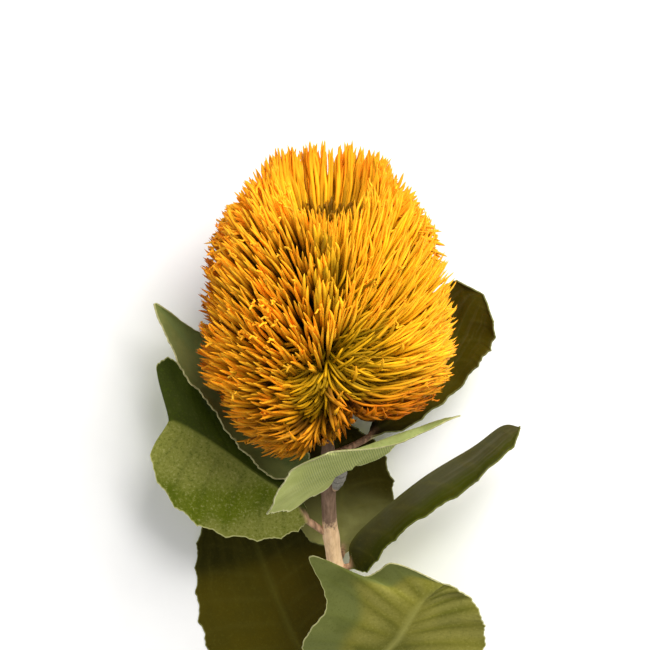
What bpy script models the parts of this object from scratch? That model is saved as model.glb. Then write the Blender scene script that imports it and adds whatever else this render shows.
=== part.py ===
"""Banksia flower: one cut sprig, laid down on a table.

The sprig is drawn standing up, in the plant's own frame: x to the right, y up along the stem and
z to the front. It is then tipped on its back until the head and the cut end of the stem both
touch the table. All sizes here are in millimetres and degrees; the meshes are in metres.
"""

import math
import random

import bmesh
import bpy
from mathutils import Matrix, Vector

MM = 0.001
FIT_GAP = 0.3

# Flower head: an egg-shaped envelope of style tips round a slim core
HEAD_RADIUS = 45.0
HEAD_WIDEST = 30.0
HEAD_TOP = 107.0
HEAD_LOW = -5.0
HEAD_SIDE = -1.4
HEAD_POWER = 2.5
HEAD_LOW_POWER = 1.75
HEAD_LIFT = 9.0
HEAD_PRESSED = 3.5
HEAD_CLEARANCE = 1.2
CORE_LOW = 5.0
CORE_TOP = 88.0
CORE_RADIUS = 12.0
CORE_SIDES = 12
CORE_RINGS = 10
CORE_END_RADIUS = 3.0

# Lower outline of the head in the front view: to the right of the neck, and up
HEAD_LOW_EDGE = [
    (-39.0, 15.0), (-32.0, 3.5), (-15.0, -8.5), (-6.0, -1.0),
    (3.5, 1.0), (6.5, 12.0), (11.0, 12.5), (15.0, 9.5), (30.0, 10.5), (40.0, 19.0),
]

# Hollow at the head's top: a ring of tips stands round it, lower in front
CROWN_INNER = 17.0
CROWN_TOP = 103.0
FRONT_DROP = 21.0
DROP_RADII = (10.0, 30.0)
DROP_SIDES = (7.0, 14.0)
DROP_ASIDE = 0.35

# Styles: bent, pointed, three-sided
STYLE_COUNT = 600
STYLE_WIDTH = 1.5
STYLE_SUNK = 2.0
ROOT_LOW = 9.0
ROOT_TOP = 84.0
PARTING = 7.0
PARTING_TOP = 70.0
PARTING_END = 85.0
STYLE_STOPS = (0.0, 0.55)
SEED = 7

# Stem and bud
STEM_SIDES = 10
STEM_RINGS = 22
NECK_LENGTH = 40.0
NECK_RADIUS = 2.1
STEM_RADIUS = 2.8
STEM_TOP = CORE_LOW - FIT_GAP
STEM_END = -113.0
STEM_SWELLING = 0.25
SWELLING_REACH = 2.2
BUD_RADIUS = 2.5
BUD_END_RADIUS = 0.7
BUD_SHOULDER = 1.2
BUD_FOOT = -17.0
BUD_SIDE = math.radians(36.0)
BUD_TIP = (5.2, -8.6, 6.6)
BUD_SIDES = 10
BUD_RINGS = 8

# Leaf blades
BLADE_THICKNESS = 0.7
RIB_THICKNESS = 1.3
PETIOLE_WIDTH = 2.4
PETIOLE_THICKNESS = 2.2
PETIOLE_STATIONS = 2
STALK_SHAPE = [(-1.0, 0.4), (-0.5, 0.76), (0.0, 1.0), (0.5, 0.76), (1.0, 0.4)]
STALK_REACH = 12.0
BLADE_STATIONS = 20
TOOTH_DEPTH = 0.9
BLADE_CAMBER = 1.2
WAVE_HEIGHT = 0.7
WAVES = 3.5

# The leaves' guide points are given as the front view shows them, from VIEW_RISE above level:
# to the right of the neck, up in that view, and in front of the stem's axis.
VIEW_RISE = math.radians(22.0)

# The stem's axis in the front view, from the head down to the cut end
STEM_PATH = [
    (-1.0, 4.4), (-0.6, -5.0), (-0.5, -20.0), (0.2, -33.0),
    (1.6, -43.0), (4.0, -60.0), (6.0, -82.0), (7.5, -104.8),
]

# Each leaf: where its stalk leaves the stem (up), where the blade starts, then left, middle and
# right guide points of the cross-sections, and the tip.
LEAVES = {
    "leaf_1": {
        "root": -16.0,
        "start": (-8, -14, -8),
        "sections": [
            ((-22, -12.5, 2), (-16, -9, -11), (-8, -5, -20)),
            ((-33, 0, -2), (-25, 4, -17), (-12, 8, -28)),
            ((-45, 16, -3), (-39, 20, -19), (-24, 24, -33)),
            ((-54, 30, -6), (-50.5, 33, -19), (-42, 34, -31)),
        ],
        "tip": (-60, 46.5, -12),
    },
    "leaf_2": {
        "root": -35.0,
        "start": (-8, -29, 1),
        "sections": [
            ((-13, -18, -7), (-15, -20.5, 0), (-12, -32.5, 2)),
            ((-31, -1, -15), (-27, -12, -3), (-24, -35.5, 3)),
            ((-43.5, 13, -17), (-39, -3.5, -6), (-41.5, -32, 3)),
            ((-51, 25, -17), (-49, 2.5, -8), (-55, -22, 1)),
            ((-60, 25, -16), (-54, 5, -9), (-62, -7, -3)),
        ],
        "tip": (-56, 5.5, -9),
    },
    "leaf_3": {
        "root": -92.0,
        "start": (-3, -85, -4),
        "sections": [
            ((-36, -86, -8), (-11, -76, -8), (4, -68, -8)),
            ((-45, -71, -15), (-18, -61, -14), (4, -54, -12)),
            ((-47.5, -52, -19), (-24, -46, -19), (0, -39, -15)),
            ((-46, -35, -19), (-30, -31, -20), (-11, -26, -18)),
        ],
        "tip": (-38, -22, -20),
    },
    "leaf_4": {
        "root": -94.0,
        "start": (9, -88, 4),
        "sections": [
            ((-6, -82, 10), (15, -81, 9), (32, -86, 8)),
            ((-9, -71, 14), (23, -72, 13), (52, -78, 10)),
            ((-1, -58, 17), (26, -67, 15), (54, -67.5, 12)),
            ((-6.5, -40, 21), (29, -62, 16.5), (51, -59, 14)),
            ((12, -48, 17), (32, -57, 17.5), (47, -54.5, 15.5)),
            ((22, -43, 18), (35, -54, 18), (43.5, -52, 16.5)),
        ],
        "tip": (39.5, -50.5, 17.5),
    },
    "leaf_5": {
        "root": -47.0,
        "start": (7.5, -45.5, 1),
        "sections": [
            ((11, -39, -5), (7.5, -37, 1), (13.5, -46.5, 4)),
            ((20, -34, -9), (17, -27, -2), (21, -36, 8)),
            ((36, -22, -14), (33, -14, -5), (39, -22.5, 10)),
            ((52, -10, -17), (50, -3.5, -8), (52, -13, 8)),
            ((62, -1, -14), (60, 3.8, -9), (62.5, -3, 2)),
        ],
        "tip": (66, 3.5, -6),
    },
    "leaf_6": {
        "root": None,
        "start": (5, -9, 12),
        "sections": [
            ((-1, -16, 17), (6, -9, 19), (12, -5, 19)),
            ((-8, -20.5, 26), (7, -9, 31), (24, 1, 32)),
            ((-16, -23, 36), (6, -7, 44), (34, 6, 36)),
            ((-20.5, -23, 44), (3, -5, 53), (41.5, 9.5, 44)),
            ((-13, -9.5, 54), (1, -3.5, 58), (24, 1, 54)),
        ],
        "tip": (-1, -2.5, 60),
    },
    "leaf_7": {
        "root": -6.0,
        "start": (13, 2, -8),
        "sections": [
            ((16, 12, -22), (22, 6, -17), (28, 4, -10)),
            ((24, 26, -34), (34, 20, -26), (42, 15, -16)),
            ((33, 42, -36), (43, 34, -28), (53.5, 28, -18)),
            ((42, 54, -33), (49, 46, -27), (57, 38, -20)),
        ],
        "tip": (53, 50, -26),
    },
    "leaf_8": {
        "root": -46.0,
        "start": (4.5, -41, -6),
        "sections": [
            ((-9, -35, -12), (4, -32, -14), (18, -32, -15)),
            ((-13, -18, -19), (4, -17, -19), (22.3, -20, -19)),
            ((-13, -4, -24), (2, -3, -23), (17, -4, -21)),
            ((-6, 4, -28), (0, 6, -28), (7, 4, -27)),
        ],
        "tip": (2, 10, -30),
    },
}

STYLE_COLOUR = (0.90, 0.42, 0.03)
LEAF_COLOUR = (0.10, 0.13, 0.02)
UNDERSIDE_COLOUR = (0.32, 0.38, 0.14)
STEM_COLOUR = (0.45, 0.30, 0.18)
BUD_COLOUR = (0.16, 0.14, 0.11)


def head_half(y):
    """Length and roundness of the half of the envelope, upper or lower, that holds y."""
    if y > HEAD_WIDEST:
        return HEAD_TOP - HEAD_WIDEST, HEAD_POWER
    return HEAD_WIDEST - HEAD_LOW, HEAD_LOW_POWER


def head_radius(y):
    """Radius of the head's envelope at the height y on its axis."""
    reach, power = head_half(y)
    share = min(1.0, abs(y - HEAD_WIDEST) / reach)
    return HEAD_RADIUS * math.sqrt(1.0 - share ** power)


def clear_of_head(point):
    """The point, moved outward from the head's centre where it would lie inside the envelope."""
    centre = Vector((HEAD_SIDE, HEAD_WIDEST, 0.0))
    reach, power = head_half(point.y)
    share = abs(point.y - HEAD_WIDEST) / (reach + HEAD_CLEARANCE)
    radius = math.hypot(point.x - HEAD_SIDE, point.z) / (HEAD_RADIUS + HEAD_CLEARANCE)
    inside = share ** power + radius ** 2
    if inside >= 1.0:
        return point
    return centre + (point - centre) / inside ** (1.0 / power)


def seen(right, up, front):
    """Plant-frame point from its place in the front view and its distance before the axis."""
    y = (up + front * math.sin(VIEW_RISE)) / math.cos(VIEW_RISE)
    return Vector((right, y, front))


def lying_tilt():
    """Tilt and height of the laid-down sprig: head and stem end both on the table."""
    heights = [HEAD_LOW + (HEAD_TOP - HEAD_LOW) * i / 200 for i in range(201)]

    def head_drop(tilt):
        drop = max(head_radius(y) * math.cos(tilt) - y * math.sin(tilt) for y in heights)
        return drop - HEAD_PRESSED

    low, high = 0.0, math.radians(40.0)
    for _ in range(50):
        tilt = 0.5 * (low + high)
        end = head_drop(tilt) + STEM_END * math.sin(tilt) - STEM_RADIUS * math.cos(tilt)
        low, high = (tilt, high) if end > 0.0 else (low, tilt)
    return tilt, head_drop(tilt)


TILT, AXIS_HEIGHT = lying_tilt()
LAY_DOWN = Matrix.Translation((0.0, 0.0, AXIS_HEIGHT)) @ Matrix.Rotation(TILT, 4, "X")


def catmull(points, t):
    """Point at t, from 0 to 1, on a smooth curve through the points."""
    spans = len(points) - 1
    place = min(t * spans, spans - 1e-6)
    i = int(place)
    u = place - i
    p1 = points[i]
    p2 = points[i + 1]
    p0 = points[i - 1] if i > 0 else 2 * p1 - p2
    p3 = points[i + 2] if i + 2 <= spans else 2 * p2 - p1
    return 0.5 * (
        2 * p1 + (p2 - p0) * u + (2 * p0 - 5 * p1 + 4 * p2 - p3) * u ** 2
        + (3 * p1 - p0 - 3 * p2 + p3) * u ** 3
    )


def material(name, colour, roughness):
    """A Principled material of one colour."""
    made = bpy.data.materials.new(name)
    made.use_nodes = True
    shader = made.node_tree.nodes["Principled BSDF"]
    shader.inputs["Base Color"].default_value = (*colour, 1.0)
    shader.inputs["Roughness"].default_value = roughness
    shader.inputs["Metallic"].default_value = 0.0
    return made


def add_object(name, vertices, faces, mat):
    """A mesh object from millimetre points of the table's frame."""
    mesh = bpy.data.meshes.new(name)
    mesh.from_pydata([v * MM for v in vertices], [], faces)
    mesh.materials.append(mat)
    mesh.validate()
    made = bpy.data.objects.new(name, mesh)
    bpy.context.scene.collection.objects.link(made)
    return made


def tube(centres, radii, sides):
    """Closed tube round a path: vertices and faces, with flat caps."""
    vertices = []
    faces = []
    side = Vector((1.0, 0.0, 0.0))
    for i, centre in enumerate(centres):
        along = centres[min(i + 1, len(centres) - 1)] - centres[max(i - 1, 0)]
        along.normalize()
        side = (side - along * side.dot(along)).normalized()
        other = along.cross(side)
        for k in range(sides):
            angle = 2.0 * math.pi * k / sides
            spoke = side * math.cos(angle) + other * math.sin(angle)
            vertices.append(centre + spoke * radii[i])
    for i in range(len(centres) - 1):
        for k in range(sides):
            a = i * sides + k
            b = i * sides + (k + 1) % sides
            faces.append((a, b, b + sides, a + sides))
    faces.append(tuple(reversed(range(sides))))
    last = (len(centres) - 1) * sides
    faces.append(tuple(range(last, last + sides)))
    return vertices, faces


def stem_centre(up):
    """Point on the stem's axis at a height of the front view."""
    up = min(STEM_PATH[0][1], max(STEM_PATH[-1][1], up))
    for (x0, up0), (x1, up1) in zip(STEM_PATH, STEM_PATH[1:]):
        if up >= up1:
            break
    share = (up0 - up) / (up0 - up1)
    return seen(x0 + (x1 - x0) * share, up, 0.0)


def stem_radius(up):
    """Radius of the stem at a height of the front view: thin at the neck, swollen at each leaf."""
    roots = [leaf["root"] for leaf in LEAVES.values() if leaf["root"] is not None]
    swelling = sum(math.exp(-((up - root) / SWELLING_REACH) ** 2) for root in roots)
    share = min(1.0, max(0.0, (STEM_TOP - up) / NECK_LENGTH))
    return NECK_RADIUS + (STEM_RADIUS - NECK_RADIUS) * share + STEM_SWELLING * swelling


def make_stem(mat):
    """The woody stem, from the head's core to its cut lower end."""
    path = [seen(x, up, 0.0) for x, up in STEM_PATH]
    centres = []
    radii = []
    for i in range(STEM_RINGS + 1):
        centre = catmull(path, i / STEM_RINGS)
        if i == 0:
            centre.y = STEM_TOP
        centres.append(centre)
        radii.append(stem_radius(centre.y * math.cos(VIEW_RISE)))
    centres = [LAY_DOWN @ c for c in centres]
    vertices, faces = tube(centres, radii, STEM_SIDES)
    vertices = [Vector((v.x, v.y, max(v.z, 0.0))) for v in vertices]
    stem = add_object("stem", vertices, faces, mat)
    turn_outward(stem)
    stem.data.shade_smooth()
    stem.data.set_sharp_from_angle(angle=math.radians(45.0))
    return stem


def bud_ends():
    """Lower and upper end of the bud's axis, on the front right of the stem."""
    outward = Vector((math.sin(BUD_SIDE), 0.0, math.cos(BUD_SIDE)))
    clear = stem_radius(BUD_FOOT) + BUD_END_RADIUS + FIT_GAP
    return stem_centre(BUD_FOOT) + outward * clear, seen(*BUD_TIP)


def make_bud(mat):
    """A small pointed egg that leans on the front of the stem."""
    low, high = bud_ends()
    centres = []
    radii = []
    for i in range(BUD_RINGS + 1):
        t = i / BUD_RINGS
        belly = math.sin(math.pi * (0.06 + 0.86 * t)) ** 0.7
        centres.append(LAY_DOWN @ low.lerp(high, t))
        radii.append(max(BUD_END_RADIUS, BUD_RADIUS * belly * (1.0 - 0.25 * t)))
    vertices, faces = tube(centres, radii, BUD_SIDES)
    bud = add_object("bud", vertices, faces, mat)
    turn_outward(bud)
    bud.data.shade_smooth()
    return bud


def off_line(point, low, high):
    """Distance of a point from the straight line between two others."""
    line = high - low
    share = min(1.0, max(0.0, (point - low).dot(line) / line.length_squared))
    return (point - low - line * share).length


def stalk_end(origin, along, across, deep, low, high, girth):
    """Where, going along from origin, a stalk's flat end stands FIT_GAP off a round stem."""
    corners = [across * i + deep * k * side for i, k in STALK_SHAPE for side in (-1, 1)]
    reach = 0.0
    while min(off_line(origin + along * reach + c, low, high) for c in corners) < girth + FIT_GAP:
        reach += 0.05
    return origin + along * reach


def leaf_rails(leaf):
    """Left, middle and right guide curves of a leaf, from its stalk to its tip."""
    start = seen(*leaf["start"])
    tip = seen(*leaf["tip"])
    sections = [[clear_of_head(seen(*p)) for p in section] for section in leaf["sections"]]
    if leaf["root"] is None:
        low, high = bud_ends()
        origin = high
        girth = BUD_SHOULDER
    else:
        low = stem_centre(leaf["root"] - STALK_REACH)
        high = stem_centre(leaf["root"] + STALK_REACH)
        origin = stem_centre(leaf["root"])
        girth = stem_radius(leaf["root"])
    along = (start - origin).normalized()
    across = sections[0][2] - sections[0][0]
    across = (across - along * across.dot(along)).normalized() * (0.5 * PETIOLE_WIDTH)
    deep = along.cross(across).normalized() * (0.5 * PETIOLE_THICKNESS)
    root = stalk_end(origin, along, across, deep, low, high, girth)
    rails = []
    for column, push in ((0, -1.0), (1, 0.0), (2, 1.0)):
        stalk = [root + across * push, start + across * push]
        blade = [section[column] for section in sections]
        end = [tip + across.normalized() * (0.7 * push)]
        rails.append((stalk, [stalk[1]] + blade + end))
    return rails


def leaf_grid(leaf, phase):
    """Rows of five mid-surface points along the leaf, and the half thickness at each."""
    rails = leaf_rails(leaf)
    rows = []
    halves = []
    for i in range(PETIOLE_STATIONS):
        t = i / PETIOLE_STATIONS
        left, middle, right = (stalk[0].lerp(stalk[1], t) for stalk, _ in rails)
        rows.append([left, (left + middle) / 2, middle, (middle + right) / 2, right])
        halves.append([0.5 * PETIOLE_THICKNESS * share for _, share in STALK_SHAPE])
    for i in range(BLADE_STATIONS + 1):
        t = i / BLADE_STATIONS
        left, middle, right = (catmull(blade, t) for _, blade in rails)
        ahead = catmull(rails[1][1], min(1.0, t + 0.02)) - catmull(rails[1][1], max(0.0, t - 0.02))
        swing = math.sin(math.pi * t) ** 0.5
        row = []
        for side, outer in ((-1.0, left), (1.0, right)):
            span = outer - middle
            normal = (ahead.cross(span) * side).normalized()
            wave = math.sin(2.0 * math.pi * WAVES * t + phase + side) * WAVE_HEIGHT * swing
            tooth = TOOTH_DEPTH * swing if i % 2 else 0.0
            inner = middle + span * 0.5 + normal * (BLADE_CAMBER * swing + 0.3 * wave)
            edge = outer + span.normalized() * tooth + normal * wave
            row.append((inner, edge))
        rows.append([row[0][1], row[0][0], middle, row[1][0], row[1][1]])
        stalk = max(0.0, 1.0 - i / 2.0)
        rib = 0.5 * (RIB_THICKNESS + (BLADE_THICKNESS - RIB_THICKNESS) * t)
        middle_half = rib + stalk * (0.5 * PETIOLE_THICKNESS - rib)
        halves.append([0.5 * BLADE_THICKNESS] * 2 + [middle_half] + [0.5 * BLADE_THICKNESS] * 2)
    return rows, halves


def make_leaf(name, leaf, phase, mat):
    """One leaf with its stalk: a thin closed blade with a toothed, waved edge."""
    rows, halves = leaf_grid(leaf, phase)
    rows = [[LAY_DOWN @ clear_of_head(p) for p in row] for row in rows]
    for row, half in zip(rows, halves):
        for j, p in enumerate(row):
            p.z = max(p.z, half[j])
    top = []
    bottom = []
    last = len(rows) - 1
    for i, row in enumerate(rows):
        for j, p in enumerate(row):
            along = rows[min(i + 1, last)][j] - rows[max(i - 1, 0)][j]
            across = row[min(j + 1, 4)] - row[max(j - 1, 0)]
            normal = across.cross(along).normalized()
            top.append(p + normal * halves[i][j])
            bottom.append(p - normal * halves[i][j])
    lift = len(top)
    faces = []
    for i in range(last):
        for j in range(4):
            a = i * 5 + j
            b = a + 1
            c = a + 6
            d = a + 5
            faces += [(a, b, c), (a, c, d)]
            faces += [(c + lift, b + lift, a + lift), (d + lift, c + lift, a + lift)]
    rim = [j for j in range(5)] + [i * 5 + 4 for i in range(1, last + 1)]
    rim += [last * 5 + j for j in (3, 2, 1, 0)] + [i * 5 for i in range(last - 1, 0, -1)]
    for a, b in zip(rim, rim[1:] + rim[:1]):
        faces += [(b, a, a + lift), (b, a + lift, b + lift)]
    made = add_object(name, top + bottom, faces, mat)
    turn_outward(made)
    made.data.shade_smooth()
    made.data.set_sharp_from_angle(angle=math.radians(40.0))
    return made


def turn_outward(made):
    """All faces of a closed mesh turned to face out."""
    work = bmesh.new()
    work.from_mesh(made.data)
    bmesh.ops.recalc_face_normals(work, faces=work.faces)
    if work.calc_volume(signed=True) < 0.0:
        bmesh.ops.reverse_faces(work, faces=work.faces)
    work.to_mesh(made.data)
    work.free()


def core_radius(y):
    """Radius of the head's core at the height y."""
    t = (y - CORE_LOW) / (CORE_TOP - CORE_LOW)
    bulge = math.sin(math.pi * min(1.0, max(0.0, t))) ** 0.6
    return CORE_END_RADIUS + (CORE_RADIUS - CORE_END_RADIUS) * bulge


def tip_height(share):
    """Height of the envelope below which the given share of its area lies."""
    steps = 200
    areas = [0.0]
    heights = [HEAD_LOW + (HEAD_TOP - HEAD_LOW) * i / steps for i in range(steps + 1)]
    for y0, y1 in zip(heights, heights[1:]):
        r0 = head_radius(y0)
        r1 = head_radius(y1)
        areas.append(areas[-1] + (r0 + r1) * math.hypot(y1 - y0, r1 - r0))
    wanted = share * areas[-1]
    for i in range(steps):
        if areas[i + 1] >= wanted:
            part = (wanted - areas[i]) / (areas[i + 1] - areas[i])
            return heights[i] + part * (heights[i + 1] - heights[i])
    return HEAD_TOP


def smooth(value, low, high):
    """0 below low, 1 above high, smooth between."""
    t = min(1.0, max(0.0, (value - low) / (high - low)))
    return t * t * (3.0 - 2.0 * t)


def low_edge(x):
    """Lowest place, in the front view, that a style's tip reaches at x."""
    for (x0, up0), (x1, up1) in zip(HEAD_LOW_EDGE, HEAD_LOW_EDGE[1:]):
        if x <= x1:
            break
    share = min(1.0, max(0.0, (x - x0) / (x1 - x0)))
    return up0 + (up1 - up0) * share


def tip_place(turn, radius, y):
    """A style's tip, moved off the hollow at the head's top and up to the lower outline."""
    front = math.cos(turn)
    drop = 1.0 - smooth(radius, *DROP_RADII)
    drop *= smooth(front, -0.5, 0.3)
    drop *= 1.0 - (1.0 - DROP_ASIDE) * smooth(abs(math.sin(turn)) * radius, *DROP_SIDES)
    if y > HEAD_WIDEST:
        y = min(y - FRONT_DROP * drop, CROWN_TOP)
        radius = max(radius, CROWN_INNER)
    x = math.sin(turn) * radius
    up = y * math.cos(VIEW_RISE) - front * radius * math.sin(VIEW_RISE)
    y += max(0.0, low_edge(x + HEAD_SIDE) - up) / math.cos(VIEW_RISE)
    return Vector((x, y, front * radius))


def style_path(index, count, draw):
    """The four guide points of one style's curve, in the plant's frame."""
    golden = math.pi * (3.0 - math.sqrt(5.0))
    turn = (index * golden + math.pi) % (2.0 * math.pi) - math.pi
    turn += draw.uniform(-0.03, 0.03)
    y = tip_height((index + 0.5) / count)
    open_share = min(1.0, max(0.0, (PARTING_END - y) / (PARTING_END - PARTING_TOP)))
    opening = math.radians(PARTING) * open_share
    tip_turn = math.copysign(opening + abs(turn) * (1.0 - opening / math.pi), turn)
    root_turn = tip_turn * (1.0 - 0.45 * math.exp(-(tip_turn / 0.9) ** 2))
    radius = head_radius(y) * draw.uniform(0.95, 1.0)
    low_share = (HEAD_TOP - y) / (HEAD_TOP - HEAD_LOW)
    y += HEAD_LIFT * max(0.0, math.sin(tip_turn)) * low_share ** 3
    tip = tip_place(tip_turn, radius, y)
    y = tip.y
    share = (y - HEAD_LOW) / (HEAD_TOP - HEAD_LOW)
    root_y = ROOT_LOW + (ROOT_TOP - ROOT_LOW) * share ** 1.15
    root_r = core_radius(root_y) - STYLE_SUNK
    outward = Vector((math.sin(root_turn), 0.0, math.cos(root_turn)))
    root = outward * root_r + Vector((0.0, root_y, 0.0))
    length = (tip - root).length
    lean = min(1.0, max(0.0, (y - 2.0) / 16.0))
    normal = Vector((tip.x, (y - HEAD_WIDEST) * 0.55, tip.z)).normalized()
    end = (normal * (1.0 - 0.6 * lean) + Vector((0.0, 0.6 * lean, 0.0))).normalized()
    points = [root, root + outward * 0.38 * length, tip - end * 0.3 * length, tip]
    return [p + Vector((HEAD_SIDE, 0.0, 0.0)) for p in points]


def bezier(points, t):
    """Point at t on a cubic Bezier curve."""
    a, b, c, d = points
    s = 1.0 - t
    return a * s ** 3 + b * 3 * s * s * t + c * 3 * s * t * t + d * t ** 3


def style_mesh(points):
    """Vertices and faces of a three-sided bent spike from its curve."""
    radius = 0.5 * STYLE_WIDTH
    tip = LAY_DOWN @ bezier(points, 1.0)
    tip.z = max(tip.z, 0.0)
    vertices = []
    for stop in STYLE_STOPS:
        centre = LAY_DOWN @ bezier(points, stop)
        centre.z = max(centre.z, 2.0 * radius)
        along = (tip - LAY_DOWN @ points[0]).normalized()
        side = along.orthogonal().normalized()
        other = along.cross(side)
        for k in range(3):
            angle = 2.0 * math.pi * k / 3.0
            vertices.append(centre + (side * math.cos(angle) + other * math.sin(angle)) * radius)
    vertices.append(tip)
    faces = [(2, 1, 0)]
    for k in range(3):
        n = (k + 1) % 3
        faces += [(k, n, n + 3), (k, n + 3, k + 3), (k + 3, n + 3, 6)]
    return vertices, faces


def make_head(mat):
    """The core and all its styles, joined into one body."""
    centres = []
    radii = []
    for i in range(CORE_RINGS + 1):
        y = CORE_LOW + (CORE_TOP - CORE_LOW) * i / CORE_RINGS
        centres.append(LAY_DOWN @ Vector((HEAD_SIDE, y, 0.0)))
        radii.append(core_radius(y))
    vertices, faces = tube(centres, radii, CORE_SIDES)
    head = add_object("flower_head", vertices, faces, mat)
    turn_outward(head)
    draw = random.Random(SEED)
    spikes = bpy.data.collections.new("styles")
    bpy.context.scene.collection.children.link(spikes)
    for index in range(STYLE_COUNT):
        vertices, faces = style_mesh(style_path(index, STYLE_COUNT, draw))
        spike = add_object(f"style_{index}", vertices, faces, mat)
        turn_outward(spike)
        bpy.context.scene.collection.objects.unlink(spike)
        spikes.objects.link(spike)
    join = head.modifiers.new("join", "BOOLEAN")
    join.operation = "UNION"
    join.operand_type = "COLLECTION"
    join.collection = spikes
    join.solver = "MANIFOLD"
    bpy.context.view_layer.objects.active = head
    bpy.ops.object.modifier_apply(modifier=join.name)
    for spike in list(spikes.objects):
        bpy.data.objects.remove(spike)
    bpy.data.collections.remove(spikes)
    return head


def centre_on_origin(pieces):
    """The whole sprig moved so that its box is centred over the origin."""
    corners = [v.co for piece in pieces for v in piece.data.vertices]
    low = [min(c[axis] for c in corners) for axis in range(2)]
    high = [max(c[axis] for c in corners) for axis in range(2)]
    shift = Vector((-(low[0] + high[0]) / 2, -(low[1] + high[1]) / 2, 0.0))
    for piece in pieces:
        piece.data.transform(Matrix.Translation(shift))


def main():
    for old in list(bpy.data.objects):
        bpy.data.objects.remove(old)
    style_mat = material("style", STYLE_COLOUR, 0.55)
    leaf_mat = material("leaf", LEAF_COLOUR, 0.7)
    under_mat = material("leaf_underside", UNDERSIDE_COLOUR, 0.8)
    stem_mat = material("stem", STEM_COLOUR, 0.8)
    bud_mat = material("bud", BUD_COLOUR, 0.8)
    pieces = [make_stem(stem_mat), make_bud(bud_mat)]
    for number, (name, leaf) in enumerate(LEAVES.items()):
        mat = under_mat if name == "leaf_6" else leaf_mat
        pieces.append(make_leaf(name, leaf, 1.7 * number, mat))
    pieces.append(make_head(style_mat))
    centre_on_origin(pieces)


main()
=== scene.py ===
"""Looks of the banksia flower: one cut sprig, lying on a pale table, seen from above.

The sprig is drawn in the plant's own frame, in millimetres: x to the right, y up along the stem,
z to the front. LAY_DOWN tips it on its back, and the bud's box in model.glb says where it lies on the
table.
"""

import math
import random
from types import SimpleNamespace

import bpy
import numpy as np
from mathutils import Matrix, Vector, noise


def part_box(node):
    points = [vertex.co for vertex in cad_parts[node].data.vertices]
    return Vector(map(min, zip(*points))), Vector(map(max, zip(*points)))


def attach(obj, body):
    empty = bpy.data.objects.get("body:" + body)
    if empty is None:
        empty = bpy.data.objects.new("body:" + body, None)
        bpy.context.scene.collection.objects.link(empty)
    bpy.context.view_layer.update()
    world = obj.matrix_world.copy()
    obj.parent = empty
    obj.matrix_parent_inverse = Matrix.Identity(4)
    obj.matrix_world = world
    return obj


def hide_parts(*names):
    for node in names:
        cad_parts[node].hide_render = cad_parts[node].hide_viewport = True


MM = 0.001

# Flower head, as in the solids
HEAD_RADIUS = 45.0
HEAD_WIDEST = 30.0
HEAD_TOP = 107.0
HEAD_LOW = -5.0
HEAD_SIDE = -1.4
HEAD_POWER = 2.5
HEAD_LOW_POWER = 1.75
HEAD_LIFT = 9.0
HEAD_PRESSED = 3.5
HEAD_CLEARANCE = 1.2
CORE_LOW = 5.0
CORE_TOP = 88.0
CORE_SHOWN = 78.0
CORE_RINGS = 160
CORE_RADIUS = 12.0
CORE_END_RADIUS = 3.0
PARTING = 2.0
PARTING_TOP = 50.0
PARTING_END = 65.0
SEED = 7

# Lower outline of the head in the front view: to the right of the neck, and up
HEAD_LOW_EDGE = [
    (-40.0, 18.0), (-37.0, 9.0), (-33.0, 2.5), (-28.0, -2.5), (-24.0, -5.0), (-20.0, -9.0),
    (-15.0, -7.5), (-10.0, -2.5), (-5.0, 0.0),
    (3.5, 1.0), (6.5, 12.0), (11.0, 12.5), (15.0, 9.5), (30.0, 10.5), (40.0, 19.0),
]

# Fine styles
STYLE_COUNT = 4400
STYLE_SIDES = 6
STYLE_STATIONS = (0.0, 0.2, 0.4, 0.57, 0.7, 0.8, 0.87, 0.925, 0.97)
PRESSED_HEIGHT = 0.6
COARSE_RADIUS = 0.64
COARSE_KEPT = 0.95
FINE_RADIUS = 0.46
EYE_ROOT = 29.0
EYE_TIP = 42.0
EYE_UP = 23.0
LINE_LOW = 7.0
LINE_TOP = 46.0
EYE_ZONES = [(14.0, 27.0, 15.0, 18.0), (-5.0, 12.0, 10.0, 12.0)]
FILL_COUNT = 520
PARTING_COUNT = 90
HOOKS = [
    ((5.0, 22.0), (7.1, 11.9), (10.9, 9.2), (13.3, 12.6)),
    ((4.0, 20.0), (5.4, 9.0), (9.5, 6.2), (13.0, 9.5)),
    ((6.5, 21.0), (8.6, 13.6), (11.4, 11.2), (12.6, 14.4)),
    ((3.0, 18.0), (4.2, 7.6), (6.8, 3.8), (9.4, 6.8)),
    ((8.0, 21.0), (10.6, 14.0), (13.8, 10.6), (16.0, 13.2)),
]
FRONT_DROP = 21.0
DROP_RADII = (10.0, 30.0)
DROP_SIDES = (7.0, 14.0)
DROP_ASIDE = 0.35
CROWN_TOP = 103.0
EYE_CLEARED = 0.93
CURL_START = 0.6
CURL_HEIGHT = 4.2
SWAY = 0.42
WAVE_TURNS = 3.0
NOD = 0.6
HOOKED_UP = 18.0
HOOKED_BEND = 1.1
CROWN_COUNT = 900
PIT_COUNT = 150
CROWN_BUNDLES = 31
CROWN_GIRTH = 0.58
CROWN_INNER = 17.0
CROWN_OUTER = 40.0

# Stem and bud
NECK_LENGTH = 40.0
NECK_RADIUS = 2.1
STEM_RADIUS = 2.8
STEM_TOP = 4.7
STEM_END = -113.0
STEM_SWELLING = 0.25
SWELLING_REACH = 2.2
STEM_SIDES = 28
STEM_RINGS = 180
BUD_RINGS = 60
BUD_RADIUS = 2.5
BUD_END_RADIUS = 0.7
BUD_FOOT = -17.0
BUD_SIDE = math.radians(36.0)
BUD_TIP = (5.2, -8.6, 6.6)
FIT_GAP = 0.3

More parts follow.
